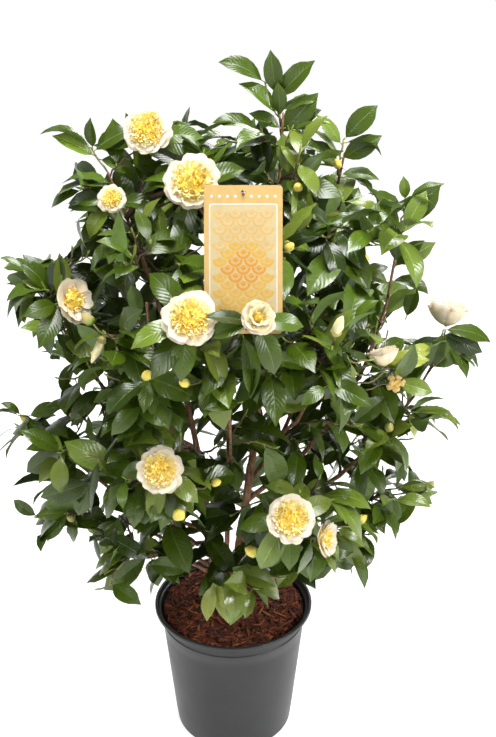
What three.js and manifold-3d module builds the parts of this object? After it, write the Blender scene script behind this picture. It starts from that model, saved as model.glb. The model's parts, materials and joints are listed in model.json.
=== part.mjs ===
// A camellia shrub about 1.2 m tall in its round nursery pot.
// Millimetres, +Z up, the front is -Y. The origin is the centre of the pot's flat underside.
// Three stems rise from one short root crown. Side boughs leave them, and each ends inside a mass
// of foliage. Each mass is one closed, uneven solid, and together they give the crown's outline.

import * as THREE from 'three';
import { mergeVertices } from 'three/addons/utils/BufferGeometryUtils.js';
import Module from 'manifold-3d';

const wasm = await Module();
wasm.setup();

// ---- Driving dimensions ----

const seatGap = 0.3; // between a piece and the one it is seated on
const massGap = 0.6; // between two neighbouring masses of foliage
const massBlockiness = 2.5; // 2 gives an ellipsoid, and more fills out its corners

const potHeight = 250;
const rimRadius = 140;
const footRadius = 106;
const potWall = 2.5;
const potFloor = 3;
const lipHeight = 10;
const lipReach = 10; // how far the rolled lip stands out from the wall
const bandHeight = 29; // the thicker band under the rim, lip included
const bandReach = 1.2;
const footRound = 5;
const potSides = 32;

const soilDepth = 18; // from the rim down to the top of the root ball
const soilLevel = potHeight - soilDepth;

const crownFoot = new THREE.Vector3(-20, 0, soilLevel + seatGap);
const crownLean = new THREE.Vector3(4, 0, 46); // from the flat cut to the fork
const flareRadius = 25;
const neckRadius = 15;
const neckAt = 0.45; // where along the root crown the flare has died out

const smallMass = 80; // a mass with a half size under this has the coarser facets

const limbStep = 100; // length of one facet along a limb
const fewestSteps = 4;
const stemSides = 8;
const boughSides = 6;

const labelWidth = 104;
const labelLength = 196;
const labelThickness = 0.8;
const labelCorner = 5;
const labelHoleInset = 9; // from the top edge to the hole's centre
const labelHoleRadius = 2.9;
const labelHole = new THREE.Vector3(20, -196, 1034);
const labelLean = THREE.MathUtils.degToRad(-20); // its lower end stands forward
const labelClearance = 6; // between the card and the foliage behind it
const twigAtHole = 2.3;
const twigPastHole = 5;

// ---- Colours ----

const colours = {
  potPlastic: 0x4a4a4c,
  rootBall: 0x4a2a1c,
  bark: 0x6e4a38,
  foliage: 0x35522a,
  card: 0xf2cf7c,
};

function finish(colour, roughness) {
  return new THREE.MeshStandardMaterial({ color: colour, roughness, metalness: 0 });
}

// ---- Solids ----

function toSolid(geometry) {
  const bare = geometry.clone();
  bare.deleteAttribute('normal');
  bare.deleteAttribute('uv');
  const merged = mergeVertices(bare, 1e-4);
  return new wasm.Manifold(new wasm.Mesh({
    numProp: 3,
    vertProperties: merged.attributes.position.array,
    triVerts: merged.index.array,
  }));
}

function toGeometry(solid) {
  const mesh = solid.getMesh();
  const geometry = new THREE.BufferGeometry();
  geometry.setAttribute('position', new THREE.BufferAttribute(mesh.vertProperties, 3));
  geometry.setIndex(new THREE.BufferAttribute(mesh.triVerts, 1));
  geometry.computeVertexNormals();
  return geometry;
}

// The largest body that a cut leaves, so that no crumb stays with it.
function largestBody(solid) {
  const bodies = solid.decompose();
  return bodies.reduce((best, body) => (body.volume() > best.volume() ? body : best));
}

function namedMesh(name, geometry, material) {
  const mesh = new THREE.Mesh(geometry, material);
  mesh.name = name;
  return mesh;
}

// ---- Pot and root ball ----

function latheSolid(profile) {
  const geometry = new THREE.LatheGeometry(profile, potSides);
  return geometry.rotateX(Math.PI / 2);
}

// The wall's outer radius at a height, on the plain taper from foot to rim.
function wallRadius(height) {
  return THREE.MathUtils.lerp(footRadius, rimRadius - lipReach, height / potHeight);
}

function potGeometry() {
  const bandFoot = potHeight - bandHeight;
  const lipFoot = potHeight - lipHeight;
  const outline = [
    [0, 0],
    [footRadius - footRound, 0],
    [wallRadius(footRound), footRound],
    [wallRadius(bandFoot), bandFoot],
    [wallRadius(bandFoot) + bandReach, bandFoot + bandReach],
    [wallRadius(lipFoot) + bandReach, lipFoot],
    [rimRadius, lipFoot + 2],
    [rimRadius, potHeight - 3],
    [rimRadius - 3, potHeight],
    [wallRadius(potHeight) - potWall, potHeight],
    [wallRadius(potFloor) - potWall, potFloor],
    [0, potFloor],
  ];
  return latheSolid(outline.map(([radius, height]) => new THREE.Vector2(radius, height)));
}

function rootBallGeometry() {
  const foot = potFloor + seatGap;
  const inset = potWall + seatGap;
  const outline = [
    [0, foot],
    [wallRadius(foot) - inset, foot],
    [wallRadius(soilLevel) - inset, soilLevel],
    [0, soilLevel],
  ];
  return latheSolid(outline.map(([radius, height]) => new THREE.Vector2(radius, height)));
}

// ---- Root crown, stems and boughs ----

// Bends a unit cylinder along a curve, with a radius that follows the length.
function limbGeometry(curve, radiusAt, sides, grow = 0) {
  const steps = Math.max(fewestSteps, Math.round(curve.getLength() / limbStep));
  const frames = curve.computeFrenetFrames(steps, false);
  const geometry = new THREE.CylinderGeometry(1, 1, 1, sides, steps);
  const place = geometry.attributes.position;
  const point = new THREE.Vector3();
  for (let i = 0; i < place.count; i += 1) {
    const along = place.getY(i) + 0.5;
    const ring = Math.round(along * steps);
    const radius = radiusAt(along) + grow;
    curve.getPointAt(along, point);
    point.addScaledVector(frames.binormals[ring], place.getX(i) * radius);
    point.addScaledVector(frames.normals[ring], place.getZ(i) * radius);
    const endwise = along === 0 ? -grow : along === 1 ? grow : 0;
    point.addScaledVector(frames.tangents[ring], endwise);
    place.setXYZ(i, point.x, point.y, point.z);
  }
  return geometry;
}

// The short stool that the stems share: a flared foot on the soil that narrows to its fork.
function rootCrownGeometry(grow = 0) {
  const rings = 5;
  const geometry = new THREE.CylinderGeometry(1, 1, 1, 14, rings);
  const place = geometry.attributes.position;
  for (let i = 0; i < place.count; i += 1) {
    const along = place.getY(i) + 0.5;
    const flare = Math.max(0, 1 - along / neckAt) ** 2;
    const turn = Math.atan2(place.getZ(i), place.getX(i));
    const lobes = 1 + 0.14 * flare * Math.cos(4 * turn + 0.6);
    const radius = (neckRadius + (flareRadius - neckRadius) * flare) * lobes + grow;
    const x = crownFoot.x + crownLean.x * along + place.getX(i) * radius;
    const y = crownFoot.y + crownLean.y * along - place.getZ(i) * radius;
    const z = crownFoot.z + crownLean.z * along + (along === 1 ? grow : 0);
    place.setXYZ(i, x, y, z);
  }
  return geometry;
}

// Each stem has its foot, from the root crown's own foot, its tip, and its bow: how far the point
// halfway along it stands off the straight line. The radii are at its foot and its tip.
const stems = {
  stem_left: { foot: [-15, 0, 30], tip: [-178, -56, 1034], bow: [34, 6, 0], radii: [6.5, 3] },
  stem_middle: { foot: [3, 3, 34], tip: [-34, 84, 955], bow: [18, -28, 0], radii: [5, 2.5] },
  stem_right: { foot: [17, 0, 32], tip: [78, -8, 1112], bow: [12, 6, 0], radii: [8.5, 3] },
};

// Each bough has its parent, the share of the parent's length where it leaves it, its tip, its bow
// and its radii.
const boughs = {
  bough_left_mid: ['stem_left', 0.38, [-292, -5, 838], [-30, 0, -35], [4, 2.2]],
  bough_left_low: ['stem_left', 0.17, [-308, -20, 606], [-20, 0, -30], [4.2, 2.2]],
  bough_left_skirt: ['stem_left', 0.07, [-262, -42, 456], [-10, 0, 26], [3.6, 2.2]],
  bough_front_left_skirt: ['stem_left', 0.05, [-150, -142, 436], [-6, -12, 26], [3.4, 2]],
  bough_front_left: ['stem_left', 0.14, [-118, -168, 596], [-6, -28, -26], [4, 2.2]],
  bough_front_left_upper: ['stem_left', 0.34, [-118, -158, 868], [-14, -34, -34], [3.6, 2.2]],
  bough_front: ['stem_middle', 0.3, [-2, -196, 768], [4, -34, -30], [3.4, 2]],
  bough_front_skirt: ['stem_middle', 0.06, [-14, -140, 404], [0, -8, 16], [3.2, 2]],
  bough_front_right: ['stem_right', 0.12, [114, -160, 545], [14, -26, -22], [4.2, 2.2]],
  bough_front_right_upper: ['stem_right', 0.36, [134, -146, 786], [16, -26, -28], [3.8, 2.2]],
  bough_right_skirt: ['stem_right', 0.08, [256, -48, 490], [10, 0, 24], [3.8, 2.2]],
  bough_right_mid: ['stem_right', 0.16, [342, 0, 742], [34, 0, -40], [5, 2.2]],
  bough_right_upper: ['stem_right', 0.22, [258, 0, 915], [52, 4, -36], [5.2, 2.4]],
  bough_right_top: ['stem_right', 0.62, [172, 14, 1046], [16, 0, -22], [4, 2.2]],
  bough_back_right: ['stem_right', 0.26, [140, 150, 836], [44, 46, -34], [4.4, 2.2]],
  bough_back_left: ['stem_left', 0.26, [-142, 150, 826], [-40, 46, -34], [4.2, 2.2]],
  bough_back: ['stem_middle', 0.42, [0, 200, 736], [2, 30, -30], [3.6, 2]],
};

// The thin shoot that the card hangs on: it comes forward through the card's hole.
const labelTwigTip = [labelHole.x, labelHole.y - twigPastHole, labelHole.z];
boughs.label_twig = ['stem_right', 0.8, labelTwigTip, [-14, -12, -10], [3.2, twigAtHole]];

function limbList() {
  const list = Object.entries(stems).map(([name, stem]) => ({ name, sides: stemSides, ...stem }));
  for (const [name, [parent, at, tip, bow, radii]] of Object.entries(boughs)) {
    list.push({ name, sides: boughSides, parent, at, tip, bow, radii });
  }
  return list;
}

function bentCurve(start, tip, bow) {
  const bend = start.clone().lerp(tip, 0.5).addScaledVector(new THREE.Vector3(...bow), 2);
  return new THREE.QuadraticBezierCurve3(start, bend, tip);
}

function limbRadius([base, tip]) {
  return (along) => THREE.MathUtils.lerp(base, tip, along ** 0.85);
}

function limbCurve(limb, curves) {
  const start = limb.parent
    ? curves[limb.parent].getPointAt(limb.at)
    : crownFoot.clone().add(new THREE.Vector3(...limb.foot));
  return bentCurve(start, new THREE.Vector3(...limb.tip), limb.bow);
}

// ---- Masses of foliage ----

// Each row is a mass's centre and its half sizes along X, Y and Z, from the top of the plant down.
const masses = {
  top_spray: [[80, -8, 1140], [40, 42, 52]],
  crown_top: [[92, -30, 1046], [84, 84, 74]],
  right_top_spray: [[184, 14, 1068], [42, 46, 58]],
  left_top_spray: [[-204, -40, 1030], [58, 58, 60]],
  left_top: [[-92, -40, 1034], [104, 78, 72]],
  back_top: [[20, 110, 985], [130, 80, 80]],
  upper_left: [[-186, -24, 918], [84, 96, 84]],
  upper_front_left: [[-112, -148, 925], [84, 76, 84]],
  upper_front: [[28, -130, 915], [92, 72, 90]],
  upper_right: [[160, -60, 925], [84, 100, 90]],
  right_upper_spray: [[262, 0, 925], [54, 62, 84]],
  upper_back_left: [[-140, 140, 880], [110, 100, 90]],
  upper_back_right: [[130, 140, 890], [110, 100, 90]],
  left_mid_spray: [[-304, 0, 850], [60, 60, 48]],
  mid_left: [[-236, -30, 748], [96, 110, 84]],
  mid_front_left: [[-130, -176, 772], [96, 90, 84]],
  mid_front: [[8, -214, 772], [86, 68, 80]],
  mid_front_right: [[142, -170, 796], [92, 92, 88]],
  mid_right: [[246, -30, 752], [86, 106, 90]],
  right_mid_spray: [[360, 0, 752], [60, 66, 58]],
  mid_back_left: [[-186, 180, 706], [112, 104, 96]],
  mid_back: [[0, 220, 732], [104, 100, 96]],
  mid_back_right: [[186, 180, 722], [112, 104, 96]],
  left_low_spray: [[-322, -20, 600], [64, 70, 54]],
  low_left: [[-232, -60, 594], [92, 104, 76]],
  low_front_left: [[-116, -184, 606], [96, 84, 70]],
  low_front_right: [[110, -180, 548], [100, 84, 66]],
  low_right: [[262, -30, 622], [100, 104, 78]],
  low_back_left: [[-158, 142, 506], [112, 98, 92]],
  low_back_right: [[176, 142, 512], [112, 98, 92]],
  left_skirt: [[-284, -40, 462], [70, 84, 66]],
  front_left_skirt: [[-164, -160, 436], [70, 78, 70]],
  front_skirt: [[-10, -150, 400], [96, 66, 60]],
  front_right_skirt: [[150, -150, 442], [76, 78, 62]],
  right_skirt: [[268, -50, 498], [74, 86, 66]],
};

// How far a rounded block with these half sizes reaches in a direction.
function blockReach(half, d) {
  const sum = Math.abs(d.x / half.x) ** massBlockiness
    + Math.abs(d.y / half.y) ** massBlockiness
    + Math.abs(d.z / half.z) ** massBlockiness;
  return sum ** (-1 / massBlockiness);
}

const ellipsoidSupport = (half, d) => Math.hypot(d.x * half.x, d.y * half.y, d.z * half.z);

// Lobes of leafy shoots: a smooth swell that differs from mass to mass with its number.
function lobes(d, number) {
  const phase = number * 1.7;
  const broad = Math.sin(3.1 * d.x + phase) * Math.cos(2.7 * d.y - phase) * Math.sin(2.9 * d.z + 2 * phase);
  const fine = Math.sin(6.3 * d.x - phase) * Math.sin(5.7 * d.y + 2 * phase) * Math.cos(6.1 * d.z + phase);
  const tips = Math.sin(91.7 * d.x + 47.3 * d.y + 63.1 * d.z + phase);
  return 1 + 0.12 * broad + 0.08 * fine + 0.06 * tips;
}

// The planes that part a mass from each of its neighbours, as a direction and a distance.
function partings(own, all) {
  return all.filter((other) => other !== own).map((other) => {
    const away = other.centre.clone().sub(own.centre);
    const distance = away.length();
    away.normalize();
    const ownReach = ellipsoidSupport(own.half, away);
    const otherReach = ellipsoidSupport(other.half, away);
    return { away, limit: distance * ownReach / (ownReach + otherReach) - massGap / 2 };
  });
}

function massGeometry(mass, number, planes) {
  const detail = Math.min(...mass.half.toArray()) < smallMass ? 1 : 2;
  const geometry = new THREE.IcosahedronGeometry(1, detail);
  const place = geometry.attributes.position;
  const direction = new THREE.Vector3();
  for (let i = 0; i < place.count; i += 1) {
    direction.fromBufferAttribute(place, i).normalize();
    let reach = blockReach(mass.half, direction) * lobes(direction, number);
    for (const { away, limit } of planes) {
      const facing = direction.dot(away);
      if (facing > 0) reach = Math.min(reach, limit / facing);
    }
    direction.multiplyScalar(reach).add(mass.centre);
    place.setXYZ(i, direction.x, direction.y, direction.z);
  }
  return geometry;
}

// ---- Label ----

function labelOutline(margin) {
  const shape = new THREE.Shape();
  const side = labelWidth / 2 + margin;
  const top = labelHoleInset + margin;
  const bottom = labelHoleInset - labelLength - margin;
  const corner = labelCorner + margin;
  shape.moveTo(-side + corner, bottom);
  shape.lineTo(side - corner, bottom);
  shape.absarc(side - corner, bottom + corner, corner, -Math.PI / 2, 0);
  shape.lineTo(side, top - corner);
  shape.absarc(side - corner, top - corner, corner, 0, Math.PI / 2);
  shape.lineTo(-side + corner, top);
  shape.absarc(-side + corner, top - corner, corner, Math.PI / 2, Math.PI);
  shape.lineTo(-side, bottom + corner);
  shape.absarc(-side + corner, bottom + corner, corner, Math.PI, 1.5 * Math.PI);
  return shape;
}

// A card, or with a margin the space that is kept free around it.
function cardSolid(margin, withHole) {
  const shape = labelOutline(margin);
  if (withHole) {
    shape.holes.push(new THREE.Path().absarc(0, 0, labelHoleRadius, 0, 2 * Math.PI, true));
  }
  const depth = labelThickness + 2 * margin;
  const geometry = new THREE.ExtrudeGeometry(shape, { depth, bevelEnabled: false, curveSegments: 4 });
  geometry.translate(0, 0, -depth / 2);
  geometry.rotateX(Math.PI / 2 + labelLean);
  geometry.translate(labelHole.x, labelHole.y, labelHole.z);
  return toSolid(geometry);
}

// ---- Assembly ----

// Each limb is cut away round its parent. A limb's space is the limb with its gap round it.
function buildLimbs() {
  const solids = { root_crown: toSolid(rootCrownGeometry()) };
  const spaces = { root_crown: toSolid(rootCrownGeometry(seatGap)) };
  const curves = {};
  for (const limb of limbList()) {
    const curve = limbCurve(limb, curves);
    const radiusAt = limbRadius(limb.radii);
    const whole = toSolid(limbGeometry(curve, radiusAt, limb.sides));
    curves[limb.name] = curve;
    solids[limb.name] = largestBody(whole.subtract(spaces[limb.parent ?? 'root_crown']));
    spaces[limb.name] = toSolid(limbGeometry(curve, radiusAt, limb.sides, seatGap));
  }
  return { solids, spaces };
}

function buildMasses(spaces) {
  const all = Object.entries(masses).map(([name, [centre, half]]) => ({
    name,
    centre: new THREE.Vector3(...centre),
    half: new THREE.Vector3(...half),
  }));
  const solids = {};
  all.forEach((mass, number) => {
    const whole = toSolid(massGeometry(mass, number, partings(mass, all)));
    solids[mass.name] = largestBody(spaces.reduce((left, space) => left.subtract(space), whole));
  });
  return solids;
}

const barkFinish = finish(colours.bark, 0.8);
const leafFinish = finish(colours.foliage, 0.5);
const wood = buildLimbs();
const foliage = buildMasses([...Object.values(wood.spaces), cardSolid(labelClearance, false)]);

const group = new THREE.Group();
group.add(namedMesh('pot', potGeometry(), finish(colours.potPlastic, 0.45)));
group.add(namedMesh('root_ball', rootBallGeometry(), finish(colours.rootBall, 0.95)));
for (const [name, solid] of Object.entries(wood.solids)) {
  group.add(namedMesh(name, toGeometry(solid), barkFinish));
}
for (const [name, solid] of Object.entries(foliage)) {
  group.add(namedMesh(name, toGeometry(solid), leafFinish));
}
const card = cardSolid(0, true).subtract(wood.spaces.label_twig);
group.add(namedMesh('plant_label', toGeometry(card), finish(colours.card, 0.4)));

export default group;
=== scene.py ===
"""A camellia shrub in its nursery pot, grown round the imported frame.

Metres, +Z up, the front is -Y. Twigs and leaves grow from the frame's limbs by a seeded rule and
fill its masses; pot, mulch, bark, blooms, buds and card are built from the frame's own boxes.
"""
import json
import math

import bpy
import numpy as np
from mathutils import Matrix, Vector
from mathutils.bvhtree import BVHTree

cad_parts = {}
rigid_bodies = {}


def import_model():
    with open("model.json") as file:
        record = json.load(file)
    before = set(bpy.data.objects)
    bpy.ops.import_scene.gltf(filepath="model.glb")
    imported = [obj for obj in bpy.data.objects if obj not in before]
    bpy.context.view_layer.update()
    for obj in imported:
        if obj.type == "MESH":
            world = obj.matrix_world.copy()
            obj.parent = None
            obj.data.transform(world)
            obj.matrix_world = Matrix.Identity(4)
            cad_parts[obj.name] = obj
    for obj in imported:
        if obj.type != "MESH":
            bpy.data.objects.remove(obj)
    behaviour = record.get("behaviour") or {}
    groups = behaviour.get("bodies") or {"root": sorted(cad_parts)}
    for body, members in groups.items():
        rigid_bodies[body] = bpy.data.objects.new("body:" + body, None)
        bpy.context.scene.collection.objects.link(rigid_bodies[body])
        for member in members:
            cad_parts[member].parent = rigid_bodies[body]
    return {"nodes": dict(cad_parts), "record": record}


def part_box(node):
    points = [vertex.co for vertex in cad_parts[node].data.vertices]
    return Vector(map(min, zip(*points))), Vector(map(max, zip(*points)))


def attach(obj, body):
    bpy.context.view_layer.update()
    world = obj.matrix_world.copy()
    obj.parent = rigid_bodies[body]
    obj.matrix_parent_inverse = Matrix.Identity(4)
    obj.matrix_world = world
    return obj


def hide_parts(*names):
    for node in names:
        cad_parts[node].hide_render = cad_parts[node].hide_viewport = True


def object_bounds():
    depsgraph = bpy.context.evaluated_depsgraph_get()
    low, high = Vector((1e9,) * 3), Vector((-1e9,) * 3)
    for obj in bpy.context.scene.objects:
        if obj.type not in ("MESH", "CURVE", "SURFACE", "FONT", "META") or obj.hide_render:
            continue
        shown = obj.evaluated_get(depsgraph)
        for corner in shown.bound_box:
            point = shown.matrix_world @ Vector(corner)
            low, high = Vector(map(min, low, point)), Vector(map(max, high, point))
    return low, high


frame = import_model()
cad_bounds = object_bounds()
dice = np.random.default_rng(12)


def unit(v):
    v = np.asarray(v, float)
    return v / (np.linalg.norm(v, axis=-1, keepdims=True) + 1e-12)


def box_of(name):
    return [np.array(corner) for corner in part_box(name)]


def place_in(name, share):
    """A point of a node's box, from its shares across, back and up."""
    low, high = box_of(name)
    return low + np.array(share) * (high - low)


def points_of(name):
    return np.array([v.co for v in frame["nodes"][name].data.vertices])


def around(count):
    """Even angles once round."""
    return np.linspace(0, 2 * math.pi, count, endpoint=False)


def round_grid(radius, turn, height):
    """Points at a radius, angle and height about the Z axis."""
    height = np.broadcast_to(height, radius.shape)
    return np.stack([radius * np.cos(turn), radius * np.sin(turn), height], -1)


UP = np.array([0.0, 0.0, 1.0])
FLAT = np.array([1, 1, 0])
POT_LOW, POT_HIGH = box_of("pot")
RIM_RADIUS = (POT_HIGH[0] - POT_LOW[0]) / 2
POT_HEIGHT = POT_HIGH[2]
SOIL = box_of("root_ball")[1][2]
SLOT_OF = {row["node"]: row["material_slot"] for row in frame["record"]["subparts"]}
MASSES = [name for name in frame["nodes"] if SLOT_OF.get(name) == "foliage"]
LIMBS = [name for name in frame["nodes"] if SLOT_OF.get(name) == "bark"]

# ---- Meshes ----


class Bag:
    """Many small meshes that become one object, with a material for each face.

    A face is four point numbers; a triangle says its last one twice."""

    def __init__(self, name, materials):
        self.name, self.materials, self.size = name, materials, 0
        self.points, self.faces, self.slots, self.spots, self.rims = [], [], [], [], []

    def add(self, points, faces, slot=0, spots=None, rim=None):
        """Adds a mesh; spots are its points' places on their blade, and rim marks sharp edges."""
        points = np.asarray(points, float).reshape(-1, 3)
        self.points.append(points)
        self.faces.append(faces + self.size)
        self.slots.append(np.broadcast_to(slot, len(faces)))
        self.spots.append(np.zeros((len(points), 2)) if spots is None else spots)
        self.rims.append(np.zeros(len(points), bool) if rim is None else rim)
        self.size += len(points)

    def build(self, smooth=True):
        def fill(rows, key, values, kind=np.int32):
            rows.foreach_set(key, values.astype(kind).ravel())

        points, faces = np.concatenate(self.points), np.concatenate(self.faces)
        keep = np.ones(faces.shape, bool)
        keep[faces[:, 2] == faces[:, 3], 3] = False
        totals = keep.sum(1)
        mesh = bpy.data.meshes.new(self.name)
        mesh.vertices.add(len(points))
        fill(mesh.vertices, "co", points, np.float32)
        mesh.loops.add(int(totals.sum()))
        fill(mesh.loops, "vertex_index", faces[keep])
        mesh.polygons.add(len(faces))
        fill(mesh.polygons, "loop_start", np.cumsum(totals) - totals)
        fill(mesh.polygons, "material_index", np.concatenate(self.slots))
        mesh.polygons.foreach_set("use_smooth", np.full(len(faces), smooth))
        spots = mesh.attributes.new("spot", "FLOAT2", "POINT")
        fill(spots.data, "vector", np.concatenate(self.spots), np.float32)
        mesh.update(calc_edges=True)
        ends = np.zeros(2 * len(mesh.edges), np.int32)
        mesh.edges.foreach_get("vertices", ends)
        sharp = mesh.attributes.new("sharp_edge", "BOOLEAN", "EDGE")
        sharp.data.foreach_set("value", np.concatenate(self.rims)[ends.reshape(-1, 2)].all(1))
        for made_of in self.materials:
            mesh.materials.append(made_of)
        made = bpy.data.objects.new(self.name, mesh)
        bpy.context.scene.collection.objects.link(made)
        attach(made, "root")
        return made


def grid_faces(rows, columns, wrap=False):
    """The faces of a grid of points; with wrap the last column joins the first."""
    row, column = np.meshgrid(np.arange(rows - 1), np.arange(columns - (not wrap)), indexing="ij")
    after = (column + 1) % columns
    corners = [row * columns + column, row * columns + after]
    corners += [(row + 1) * columns + after, (row + 1) * columns + column]
    return np.stack(corners, -1).reshape(-1, 4)


def tube_faces(rows, sides):
    """A closed tube: rings of points, and after them its foot and its tip."""
    this = np.arange(sides)
    after = (this + 1) % sides
    foot, tip, last = rows * sides, rows * sides + 1, (rows - 1) * sides
    start = np.stack([np.full(sides, foot), after, this, this], -1)
    end = np.stack([np.full(sides, tip), last + this, last + after, last + after], -1)
    return np.concatenate([grid_faces(rows, sides, wrap=True), start, end])


def blade_faces(rows, columns):
    """A closed thin blade: a top grid, and an underside that shares the top's rim.

    Two corners are cut the other way, so that no triangle has all its points on the rim."""
    under = np.arange(rows * columns).reshape(rows, columns)
    under[1:-1, 1:-1] = rows * columns + np.arange((rows - 2) * (columns - 2)).reshape(rows - 2, -1)
    quads = grid_faces(rows, columns)
    turned = [columns - 2, 1 - columns]
    quads[turned] = np.roll(quads[turned], -1, axis=1)
    top = quads[:, [[0, 1, 2, 2], [0, 2, 3, 3]]].reshape(-1, 4)
    return np.concatenate([top, under.ravel()[top[:, [1, 0, 2, 3]]]])


def blade_rim(rows, columns):
    """True for each point of a blade that is on its rim, where its two faces meet sharply."""
    edge = np.ones((rows, columns), bool)
    edge[1:-1, 1:-1] = False
    return np.concatenate([edge.ravel(), np.zeros((rows - 2) * (columns - 2), bool)])


def blade_spots(us, vs):
    """Each point's place along and across its blade, top first."""
    grids = np.meshgrid(us, vs, indexing="ij")
    return np.stack([np.concatenate([grid.ravel(), grid[1:-1, 1:-1].ravel()]) for grid in grids], -1)


def blade_points(top, normal, thickness):
    """Points for blade_faces from a batch of top grids (n, rows, columns, 3)."""
    inner = top[:, 1:-1, 1:-1] - normal[:, 1:-1, 1:-1] * thickness
    return np.concatenate([top.reshape(len(top), -1, 3), inner.reshape(len(top), -1, 3)], 1)


def add_tube(bag, points, radii, sides=6, slot=0, relief=None):
    """A closed tube along a path, without twist; relief(along, turn) scales its radius."""
    tangents = unit(np.gradient(points, axis=0))
    side = np.cross(tangents[0], UP if abs(tangents[0][2]) < 0.9 else [1.0, 0.0, 0.0])
    across = []
    for tangent in tangents:
        side = unit(side - tangent * np.dot(side, tangent))
        across.append(side)
    across = np.array(across)
    over = np.cross(tangents, across)
    turn = around(sides)
    radius = radii[:, None] * np.ones(sides)
    if relief is not None:
        radius = radius * relief(np.arange(len(points))[:, None], turn[None])
    ring = across[:, None] * np.cos(turn)[None, :, None] + over[:, None] * np.sin(turn)[None, :, None]
    body = points[:, None] + ring * radius[..., None]
    foot = points[0] - tangents[0] * radii[0] * 0.3
    tip = points[-1] + tangents[-1] * radii[-1] * 0.6
    bag.add(np.concatenate([body.reshape(-1, 3), [foot, tip]]), tube_faces(len(points), sides), slot)


def bezier(a, b, c, d, count):
    t = np.linspace(0, 1, count)[:, None]
    return a * (1 - t) ** 3 + 3 * b * t * (1 - t) ** 2 + 3 * c * t * t * (1 - t) + d * t ** 3


# ---- Materials ----


def node(made, kind, inputs=(), **settings):
    """Adds a node and gives its outputs; inputs pairs each socket with a value or another output."""
    new = made.node_tree.nodes.new(kind)
    for key, value in settings.items():
        setattr(new, key, value)
    for key, value in dict(inputs).items():
        if isinstance(value, bpy.types.NodeSocket):
            made.node_tree.links.new(value, new.inputs[key])
        else:
            new.inputs[key].default_value = value
    return new.outputs


def sockets_of(made, shader="Principled BSDF"):
    """The inputs of a material's or world's shader."""
    return made.node_tree.nodes[shader].inputs


def link(made, output, socket):
    made.node_tree.links.new(output, sockets_of(made)[socket])


def material(name, colour, roughness=0.5, **sockets):
    made = bpy.data.materials.new(name)
    made.use_nodes = True
    for socket, value in {"Base_Color": (*colour, 1.0), "Roughness": roughness, **sockets}.items():
        sockets_of(made)[socket.replace("_", " ")].default_value = value
    return made


def noise(made, scale, detail=3.0, roughness=0.5, vector=None):
    inputs = {"Vector": vector or node(made, "ShaderNodeTexCoord")["Object"], "Scale": scale}
    return node(made, "ShaderNodeTexNoise", {**inputs, "Detail": detail, "Roughness": roughness})["Fac"]


def ramp(made, factor, *stops):
    """A colour ramp with stops of (place, colour)."""
    colour = node(made, "ShaderNodeValToRGB", {"Fac": factor})["Color"]
    elements = colour.node.color_ramp.elements
    while len(elements) < len(stops):
        elements.new(0.5)
    for element, (place, tint) in zip(elements, stops):
        element.position = place
        element.color = (*tint, 1.0)
    return colour


def maths(made, operation, *inputs):
    return node(made, "ShaderNodeMath", enumerate(inputs), operation=operation)[0]


def roughen(made, factor, low, high):
    inputs = {"Value": factor, "To Min": low, "To Max": high}
    link(made, node(made, "ShaderNodeMapRange", inputs)["Result"], "Roughness")


def bump(made, height, strength, distance):
    inputs = {"Height": height, "Strength": strength, "Distance": distance}
    link(made, node(made, "ShaderNodeBump", inputs)["Normal"], "Normal")


def mottled(name, colour, roughness, scale, contrast=0.25, **sockets):
    """A material whose colour drifts a little darker and lighter over its surface."""
    made = material(name, colour, roughness, **sockets)
    dark, light = (tuple(min(1.0, c * f) for c in colour) for f in (1 - contrast, 1 + contrast))
    link(made, ramp(made, noise(made, scale), (0.3, dark), (0.7, light)), "Base Color")
    return made


# ---- Camera, light and floor ----

# name, place, size, power
LIGHTS = [
    ("overhead", (0.15, -0.5, 2.9), 1.1, 88),
    ("front_left", (-2.1, -1.7, 2.1), 0.7, 17),
    ("front_right", (2.2, -1.5, 1.9), 0.7, 56),
    ("behind", (0.6, 1.9, 2.3), 1.0, 42),
]
LIT_POINT = Vector((0.0, 0.0, 0.7))
FLOOR_REACH = 60.0
CAMERA_AT = (0.0262, -1.531, 1.345)
CAMERA_DOWN = 22.9


def add_object(name, data, place):
    made = bpy.data.objects.new(name, data)
    made.location = place
    bpy.context.scene.collection.objects.link(made)
    return made


def make_camera():
    """A viewpoint in front of the plant that looks down at its crown."""
    data = bpy.data.cameras.new("camera")
    data.lens = 50.0
    data.sensor_width = 36.0
    made = add_object("camera", data, CAMERA_AT)
    made.rotation_euler = (math.radians(90 - CAMERA_DOWN), 0, 0)
    bpy.context.scene.camera = made


def make_light(name, place, size, power):
    data = bpy.data.lights.new(name, "AREA")
    data.shape = "SQUARE"
    data.size = size
    data.energy = power
    made = add_object(name, data, place)
    made.rotation_mode = "QUATERNION"
    made.rotation_quaternion = (LIT_POINT - Vector(place)).to_track_quat("-Z", "Y")


def make_world(scene):
    """Soft white light that is strong near the horizon and weak overhead."""
    world = bpy.data.worlds.new("studio")
    world.use_nodes = True
    background = sockets_of(world, "Background")
    background["Color"].default_value = (1.0, 1.0, 1.0, 1.0)
    heading = node(world, "ShaderNodeTexCoord")["Generated"]
    height = node(world, "ShaderNodeSeparateXYZ", {"Vector": heading})["Z"]
    inputs = {"Value": height, "From Min": 0.10, "From Max": 0.32, "To Min": 1.02, "To Max": 0.20}
    strength = node(world, "ShaderNodeMapRange", inputs)["Result"]
    world.node_tree.links.new(strength, background["Strength"])
    scene.world = world


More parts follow.
